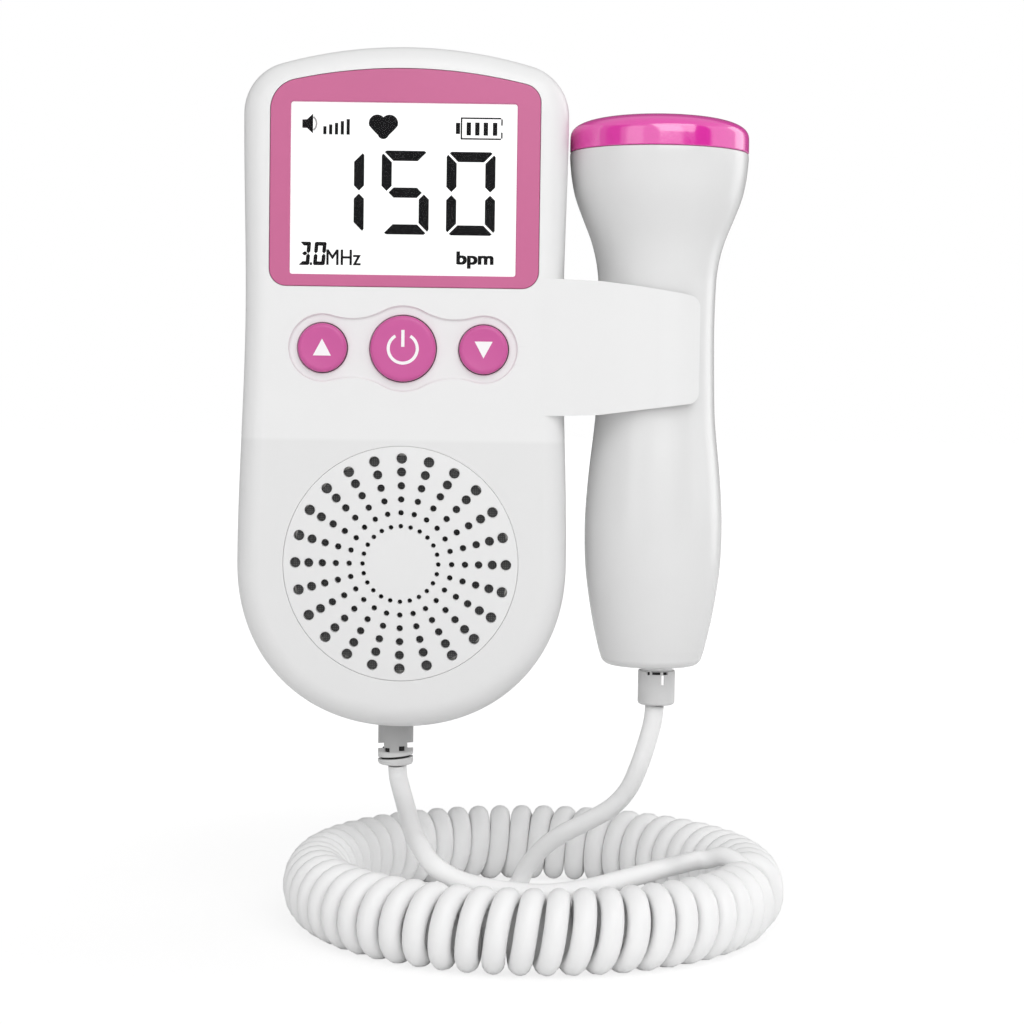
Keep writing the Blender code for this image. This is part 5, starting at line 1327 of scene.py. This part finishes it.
def build_unit_gland(m):
    """Sleeve with open notches at its sides, small pockets, a slanting groove and a skewed foot."""
    r = UNIT_GLAND_RADIUS
    top = -0.0003
    foot = -UNIT_GLAND_LENGTH
    profile = [(0, 0.0058), (r - 0.0007, 0.0058), (r - 0.0007, top), (r - 0.00012, top),
               (r, top - 0.00015)] + sleeve_foot(r, foot)
    gland = turned("unit_gland", profile, 72, Matrix.Translation((GLAND_X, GLAND_Y, level(0))))
    notches = []
    for side, height in UNIT_NOTCHES:
        centre = (GLAND_X + side * NOTCH_X, GLAND_Y, level(height))
        notches.append(sight_box("notch", centre, NOTCH_SIZE, NOTCH_TILT))
    slant = Matrix.Translation((GLAND_X, GLAND_Y, level(GROOVE_HEIGHT)))
    slant @= Matrix.Rotation(GROOVE_TILT, 4, "Y")
    notches.append(turned("groove", band_section(r - 0.0009, r + 0.001, 0.00026), 72, slant))
    skew = Matrix.Translation((GLAND_X + 0.0040, GLAND_Y, level(foot - 0.0003)))
    skew @= Matrix.Rotation(FOOT_TILT, 4, "Y")
    notches.append(placed(box("skew", (-0.0030, -0.006, -0.0012), (0.0030, 0.006, 0)), skew))
    for tool in notches:
        cut(gland, tool)
    # Dark plates in the pockets and a dark ring in the groove: painted shade, not a dark material of the
    # gland
    shade_plate = pockets(gland, "unit_gland_pocket_shade", (GLAND_X, GLAND_Y), r, UNIT_POCKETS)
    floor = turned("groove_shade_ring", band_section(r - 0.0010, r - 0.0006, 0.00040), 72, slant)
    shade_plate = joined("unit_gland_slot_shade", [shade_plate, floor])
    rounded_edges(gland, 0.00007, 2)
    shaded(gland, m["gland"])
    shaded(shade_plate, m["dark"])
    for piece in (gland, shade_plate):
        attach(piece, "unit")
    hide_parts("unit_strain_relief")


def build_probe_gland(m):
    """White neck, a row of small pockets and one open slit over a plain sleeve."""
    r = PROBE_GLAND_RADIUS
    centre = (PROBE_GLAND_X, PROBE_Y)
    top = PROBE_FOOT - 0.00120
    profile = [(0, top), (r - 0.00015, top), (r, top - 0.00015)]
    profile += sleeve_foot(r, PROBE_FOOT - PROBE_GLAND_LENGTH)
    matrix = Matrix.Translation((*centre, level(0)))
    gland = turned("probe_gland", profile, 72, matrix)
    slit = (PROBE_GLAND_X + SLIT_X, PROBE_Y - r, level(PROBE_FOOT - SLIT_DROP))
    cut(gland, sight_box("slit", slit, SLIT_SIZE))
    high = PROBE_FOOT - POCKET_DROP
    places = [(across, high - length, high) for across, length in PROBE_POCKETS]
    # The pockets get dark plates: painted shade
    shade_plate = pockets(gland, "probe_gland_pocket_shade", centre, r, places)
    rounded_edges(gland, 0.00010, 2)
    neck_top = PROBE_FOOT + 0.0030
    profile = [(0, neck_top), (NECK_CORE_RADIUS, neck_top), (NECK_CORE_RADIUS, PROBE_FOOT - 0.0002),
               (NECK_RADIUS, PROBE_FOOT - 0.0003), (NECK_RADIUS, top), (0, top)]
    neck = turned("probe_gland_neck", profile, 64, matrix)
    shaded(gland, m["pale_gland"])
    shaded(shade_plate, m["dark"])
    shaded(neck, m["neck"])
    for piece in (gland, shade_plate, neck):
        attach(piece, "probe")
    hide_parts("probe_strain_relief")


# Probe

def spline_point(a, b, c, d, t):
    """Point between b and c on a smooth curve, for numbers or vectors."""
    return (b * 2 + (c - a) * t + (a * 2 - b * 5 + c * 4 - d) * t ** 2
            + (b * 3 - a - c * 3 + d) * t ** 3) / 2


def smooth_profile(sections, per_span=6):
    """Even curve through the handle's sections."""
    ends = [sections[0]] + sections + [sections[-1]]
    points = [tuple(spline_point(*numbers, step / per_span) for numbers in zip(*span))
              for span in zip(ends, ends[1:], ends[2:], ends[3:]) for step in range(per_span)]
    return points + [sections[-1]]


def build_probe(m):
    outer = smooth_profile(PROBE_SECTIONS)
    last_radius = outer[-1][0]
    centre = (last_radius - PROBE_FOOT_CORNER - 0.0004, PROBE_FOOT + PROBE_FOOT_CORNER)
    rim = PROBE_SECTIONS[0][1]
    shelf = rim - SHELF_DEPTH
    floor = PROBE_FOOT + PROBE_WALL
    profile = [(CAP_SEAT, rim), (FACE_RADIUS - 0.00018, rim), (FACE_RADIUS - 0.00004, rim - 0.00015)]
    profile += [point for point in outer if point[1] < rim - 0.0004]
    profile += arc(centre, PROBE_FOOT_CORNER, radians(-8), radians(-90), 10)
    profile += [(CORD_BORE, PROBE_FOOT), (CORD_BORE, floor), (last_radius - PROBE_WALL - 0.002, floor)]
    profile += [(radius - PROBE_WALL, height) for radius, height in reversed(outer[::6])
                if PROBE_FOOT + 0.0045 < height < shelf - PROBE_WALL]
    profile += [(CAP_SEAT, shelf), (CAP_SEAT, rim)]
    matrix = Matrix.Translation((PROBE_X, PROBE_Y, level(0)))
    reach = 0.03
    for name, node, low, high in (("probe_front_half", "probe_front_shell", -0.00003, reach),
                                  ("probe_rear_half", "probe_rear_shell", -reach, 0.00003)):
        half = turned(name, profile, 96, matrix)
        cut(half, box("split", (PROBE_X - reach, PROBE_Y + low, level(PROBE_FOOT - OVERRUN)),
                      (PROBE_X + reach, PROBE_Y + high, level(rim + OVERRUN))))
        shaded(half, m["probe"])
        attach(half, "probe")
        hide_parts(node)
    base = rim + 0.00012
    shoulder = base + FACE_SIDE
    profile = [(0, shoulder + FACE_DOME)]
    for index in range(1, 25):
        angle = pi / 2 * (1 - index / 24)
        profile.append((cos(angle) ** (2 / DOME_POWER) * FACE_RADIUS,
                        shoulder + FACE_DOME * sin(angle) ** (2 / DOME_POWER)))
    profile += [(FACE_RADIUS, base + 0.00018), (FACE_RADIUS - 0.00018, base), (CAP_SEAT - GAP, base),
                (CAP_SEAT - GAP, base - CAP_SKIRT), (0, base - CAP_SKIRT)]
    cap = turned("probe_face", profile, 128, matrix)
    shaded(cap, m["face"])
    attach(cap, "probe")
    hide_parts("probe_face_cap")


# Cord

def curl_point(turn):
    """Point on the cord's centre line after so many curls."""
    around = RING_START - CURL_STEP * turn
    roll = pi / 2 - pi * 2 * turn
    radius = RING_RADIUS + CURL_RADIUS * cos(roll)
    return Vector((RING_X + radius * cos(around), RING_Y + radius * sin(around),
                   level(RING_HEIGHT) + CURL_HALF_HEIGHT * sin(roll)))


def curl_direction(turn):
    return (curl_point(turn + 0.005) - curl_point(turn - 0.005)).normalized()


def lead_direction():
    flat = cos(LEAD_DROP)
    return Vector((cos(LEAD_HEADING) * flat, sin(LEAD_HEADING) * flat, -sin(LEAD_DROP)))


def smooth_route(route, spacing):
    """Even points on a smooth curve through a route's own points."""
    ends = [route[0] * 2 - route[1]] + route + [route[-1] * 2 - route[-2]]
    fine = []
    for span in zip(ends, ends[1:], ends[2:], ends[3:]):
        fine += [spline_point(*span, step / SPAN_STEPS) for step in range(SPAN_STEPS)]
    fine.append(route[-1])
    return even_points(fine, spacing)


def even_points(fine, spacing):
    lengths = [0.0]
    for before, after in zip(fine, fine[1:]):
        lengths.append(lengths[-1] + (after - before).length)
    count = round(lengths[-1] / spacing)
    points = []
    place = 0
    for index in range(count + 1):
        wanted = lengths[-1] * index / count
        while place < len(fine) - 2 and lengths[place + 1] < wanted:
            place += 1
        share = (wanted - lengths[place]) / (lengths[place + 1] - lengths[place])
        points.append(fine[place].lerp(fine[place + 1], min(max(share, 0), 1)))
    return points


def relaxed(points, middle, reach, rounds):
    """Smooths a line round one of its points, with less and less effect away from it."""
    points = [point.copy() for point in points]
    for _ in range(rounds):
        moved = [point.copy() for point in points]
        for index in range(max(1, middle - reach), min(len(points) - 1, middle + reach + 1)):
            share = 0.5 * (1 - abs(index - middle) / (reach + 1))
            mean = (points[index - 1] + points[index + 1]) / 2
            moved[index] = points[index].lerp(mean, share)
        points = moved
    return points


def path_length(points):
    return sum((after - before).length for before, after in zip(points, points[1:]))


# The tails' lines between gland and curls, as x, y and height
UNIT_TAIL = [
    (0.0001, -0.0185, -0.0147), (0.0010, -0.0220, -0.0167), (0.0020, -0.0280, -0.0183),
    (0.0034, -0.0380, -0.0197), (0.0053, -0.0470, -0.0210), (0.0080, -0.0535, -0.0233),
    (0.0121, -0.0550, -0.0256), (0.0161, -0.0555, -0.0268), (0.0215, -0.0564, -0.0276),
    (0.0296, -0.0566, -0.0281), (0.0370, -0.0560, -0.0273), (0.0431, -0.0550, -0.0260),
    (0.0518, -0.0451, -0.0256), (0.0568, -0.0325, -0.0271), (0.0615, -0.0265, -0.0272),
    (0.0666, -0.0272, -0.0263),
]
PROBE_TAIL = [
    (0.0526, PROBE_Y, 0.0003), (0.0514, PROBE_Y, -0.0044), (0.0499, -0.0178, -0.0091),
    (0.0478, -0.0167, -0.0142), (0.0443, -0.0154, -0.0184), (0.0394, -0.0135, -0.0217),
    (0.0337, -0.0108, -0.0253), (0.0297, -0.0082, -0.0290), (0.0267, -0.0056, -0.0334),
    (0.0246, -0.0048, -0.0376), (0.0205, -0.0062, CURL_FLOOR), (0.0172, -0.0105, CURL_FLOOR),
    (0.0180, -0.0160, CURL_FLOOR), (0.0240, -0.0215, CURL_FLOOR), (0.0340, -0.0262, CURL_FLOOR),
    (0.0480, -0.0290, CURL_FLOOR),
]


def levelled(points):
    return [Vector((x, y, level(height))) for x, y, height in points]


def unit_tail_route():
    exit_z = level(-UNIT_GLAND_LENGTH - GAP)
    end = curl_point(0) - lead_direction() * CORD_RADIUS * 2
    start = [Vector((GLAND_X + 0.0004, GLAND_Y, exit_z)),
             Vector((GLAND_X + 0.0006, GLAND_Y, exit_z - 0.0025))]
    return start + levelled(UNIT_TAIL) + [end - lead_direction() * CORD_RADIUS * 2, end]


def probe_tail_route():
    start = (PROBE_GLAND_X - 0.0003, PROBE_Y, PROBE_FOOT - PROBE_GLAND_LENGTH - GAP)
    end = curl_point(CURLS) + curl_direction(CURLS) * (CORD_RADIUS * 2 + GAP)
    return levelled([start] + PROBE_TAIL) + [end + curl_direction(CURLS) * CORD_RADIUS * 2, end]


def curl_swell(turn):
    """Share by which the jacket is thicker along the curls, nothing where they start."""
    outer = cos(pi / 2 - pi * 2 * turn)
    return (CURL_SWELL + OUTER_SWELL * outer) * smooth_share(min(max(turn - 0.2, 0), 1))


def cord_curve(name, points, swells=None):
    data = bpy.data.curves.new(name, "CURVE")
    data.dimensions = "3D"
    data.bevel_depth = CORD_RADIUS
    data.bevel_resolution = 6
    data.use_fill_caps = True
    data.resolution_u = 1
    spline = data.splines.new("POLY")
    spline.points.add(len(points) - 1)
    for index, (place, point) in enumerate(zip(spline.points, points)):
        place.co = (*point, 1)
        place.radius = 1 + (swells[index] if swells else 0)
    return link(bpy.data.objects.new(name, data))


def build_cords(m):
    tail = smooth_route(unit_tail_route(), TAIL_SPACING)
    count = round(CURLS * CURL_POINTS)
    curls = [curl_point(index / CURL_POINTS) for index in range(count + 1)]
    curls.append(curls[-1] + curl_direction(CURLS) * CORD_RADIUS * 2)
    line = relaxed(tail + curls, len(tail), 7, 30)
    swells = [0] * len(tail) + [curl_swell(index / CURL_POINTS) for index in range(len(curls))]
    cord = cord_curve("curly_cord", line, swells)
    cord.data.materials.append(m["cord"])
    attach(cord, "unit")
    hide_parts("cord_curl_ring", "cord_unit_tail")
    print("curly cord length", round(path_length(line), 4))
    route = smooth_route(probe_tail_route(), TAIL_SPACING)
    tube = solid_mesh(cord_curve("probe_cord_line", route))
    tube.name = "probe_cord"
    tube.data.materials.append(m["cord"])
    tube.data.shade_smooth()
    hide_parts("cord_probe_tail")
    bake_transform(tube)
    print("probe cord length", round(path_length(route), 4))


# Materials of the CAD pieces that keep their mesh
NODE_LOOKS = {
    "display": ["lcd_panel"],
    "inner": ["lcd_backlight", "stem_up", "stem_power", "stem_down"],
    "board": ["main_board", "probe_board"],
    "black": ["switch_up", "switch_power", "switch_down"],
    "cloth": ["speaker_cloth"],
    "steel": ["speaker_frame", "battery_spring_left", "battery_spring_right", "battery_plate_left",
              "battery_plate_right", "battery_bridge_plate"],
    "magnet": ["speaker_magnet"],
    "cone": ["speaker_cone"],
    "cell": ["battery_cell_left", "battery_cell_right"],
    "ceramic": ["transmit_crystal", "receive_crystal"],
    "backing": ["crystal_backing"],
}


def dress_nodes(m):
    for look, nodes in NODE_LOOKS.items():
        for node in nodes:
            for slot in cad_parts[node].material_slots:
                slot.material = m[look]


# Room and light

def mixed_shader(tree, factor, first, second):
    return output_of(tree, "MixShader", "Shader", {"Fac": factor, 1: first, 2: second})


def build_stage():
    """White floor; seen by the camera it is lifted to the backdrop's white but keeps a soft shadow."""
    made, tree, shader = new_material("floor_paper")
    coordinates = object_coordinates(tree)
    mottle = noise(tree, coordinates, 14.0, 3.0)
    feed(tree, shader, {
        "Base Color": blended(tree, spread(tree, mottle, 0.0, 1.0), grey(0.91), grey(0.93)),
        "Roughness": 0.9,
        "Specular IOR Level": 0.1,
    })
    glow = output_of(tree, "Emission", "Emission", {"Strength": FLOOR_GLOW})
    ring_foot = (RING_X, RING_Y, level(FLOOR_HEIGHT))
    away = output_of(tree, "VectorMath", "Value", {0: coordinates, 1: ring_foot}, operation="DISTANCE")
    lift = spread(tree, away, *FLOOR_LIFT, *FLOOR_LIFT_REACH, True)
    seen = output_of(tree, "LightPath", "Is Camera Ray", {})
    paper = mixed_shader(tree, combined(tree, "MULTIPLY", lift, seen), shader.outputs["BSDF"], glow)
    tree.links.new(paper, tree.nodes["Material Output"].inputs["Surface"])
    work = bmesh.new()
    bmesh.ops.create_grid(work, x_segments=1, y_segments=1, size=FLOOR_GRID_SIZE)
    bmesh.ops.translate(work, vec=(0, 0, level(FLOOR_HEIGHT)), verts=work.verts)
    floor = mesh_piece("floor", work)
    floor.data.materials.append(made)


def build_world():
    """White to the camera and through the lens; to everything else a ring of soft panels."""
    world = bpy.data.worlds.new("studio")
    bpy.context.scene.world = world
    world.use_nodes = True
    tree = world.node_tree
    tree.nodes.clear()
    path = tree.nodes.new("ShaderNodeLightPath")
    seen = combined(tree, "MAXIMUM", path.outputs["Is Camera Ray"], path.outputs["Is Transmission Ray"])
    dim, bright = (output_of(tree, "Background", "Background", {"Strength": power, "Color": grey(1.0)})
                   for power in (panel_light(tree), 1.0))
    out = tree.nodes.new("ShaderNodeOutputWorld")
    feed(tree, out, {"Surface": mixed_shader(tree, seen, dim, bright)})


def panel_light(tree):
    """Strength of the room by compass direction, with soft steps between panels; the ceiling is even."""
    split = tree.nodes.new("ShaderNodeSeparateXYZ")
    feed(tree, split, {"Vector": output_of(tree, "TexCoord", "Generated", {})})
    x, y, z = split.outputs
    turn = combined(tree, "ARCTAN2", x, combined(tree, "MULTIPLY", y, -1.0))
    strength = last = WORLD_PANELS[0][1]
    for edge, value in WORLD_PANELS[1:]:
        step = spread(tree, turn, 0.0, value - last, radians(edge - PANEL_EDGE),
                      radians(edge + PANEL_EDGE), True)
        strength = combined(tree, "ADD", step, strength)
        last = value
    ceiling = spread(tree, z, 0.0, 1.0, *CEILING_EDGE, True)
    even = combined(tree, "MULTIPLY", ceiling, WORLD_CEILING)
    rest = combined(tree, "MULTIPLY", combined(tree, "SUBTRACT", 1.0, ceiling), strength)
    return combined(tree, "ADD", even, rest)


def area_light(name, place, target, width, height, power):
    data = bpy.data.lights.new(name, "AREA")
    data.shape = "RECTANGLE"
    data.size = width
    data.size_y = height
    data.energy = power
    light = link(bpy.data.objects.new(name, data))
    light.location = place
    direction = Vector(target) - Vector(place)
    light.rotation_euler = direction.to_track_quat("-Z", "Y").to_euler()


def build_lights():
    """Broad key over the right shoulder, a weak fill and a strip behind the right edge."""
    for light in LIGHTS:
        area_light(*light)


def main():
    place_camera()
    materials = make_materials()
    for build in (build_cords, build_front_shell, build_rear_shell, build_display, build_segments,
                  build_keys, build_grille, build_door, build_screws, build_unit_gland,
                  build_probe_gland, build_probe, dress_nodes):
        build(materials)
    build_stage()
    build_world()
    build_lights()
    bpy.context.scene.view_settings.view_transform = "Standard"


main()
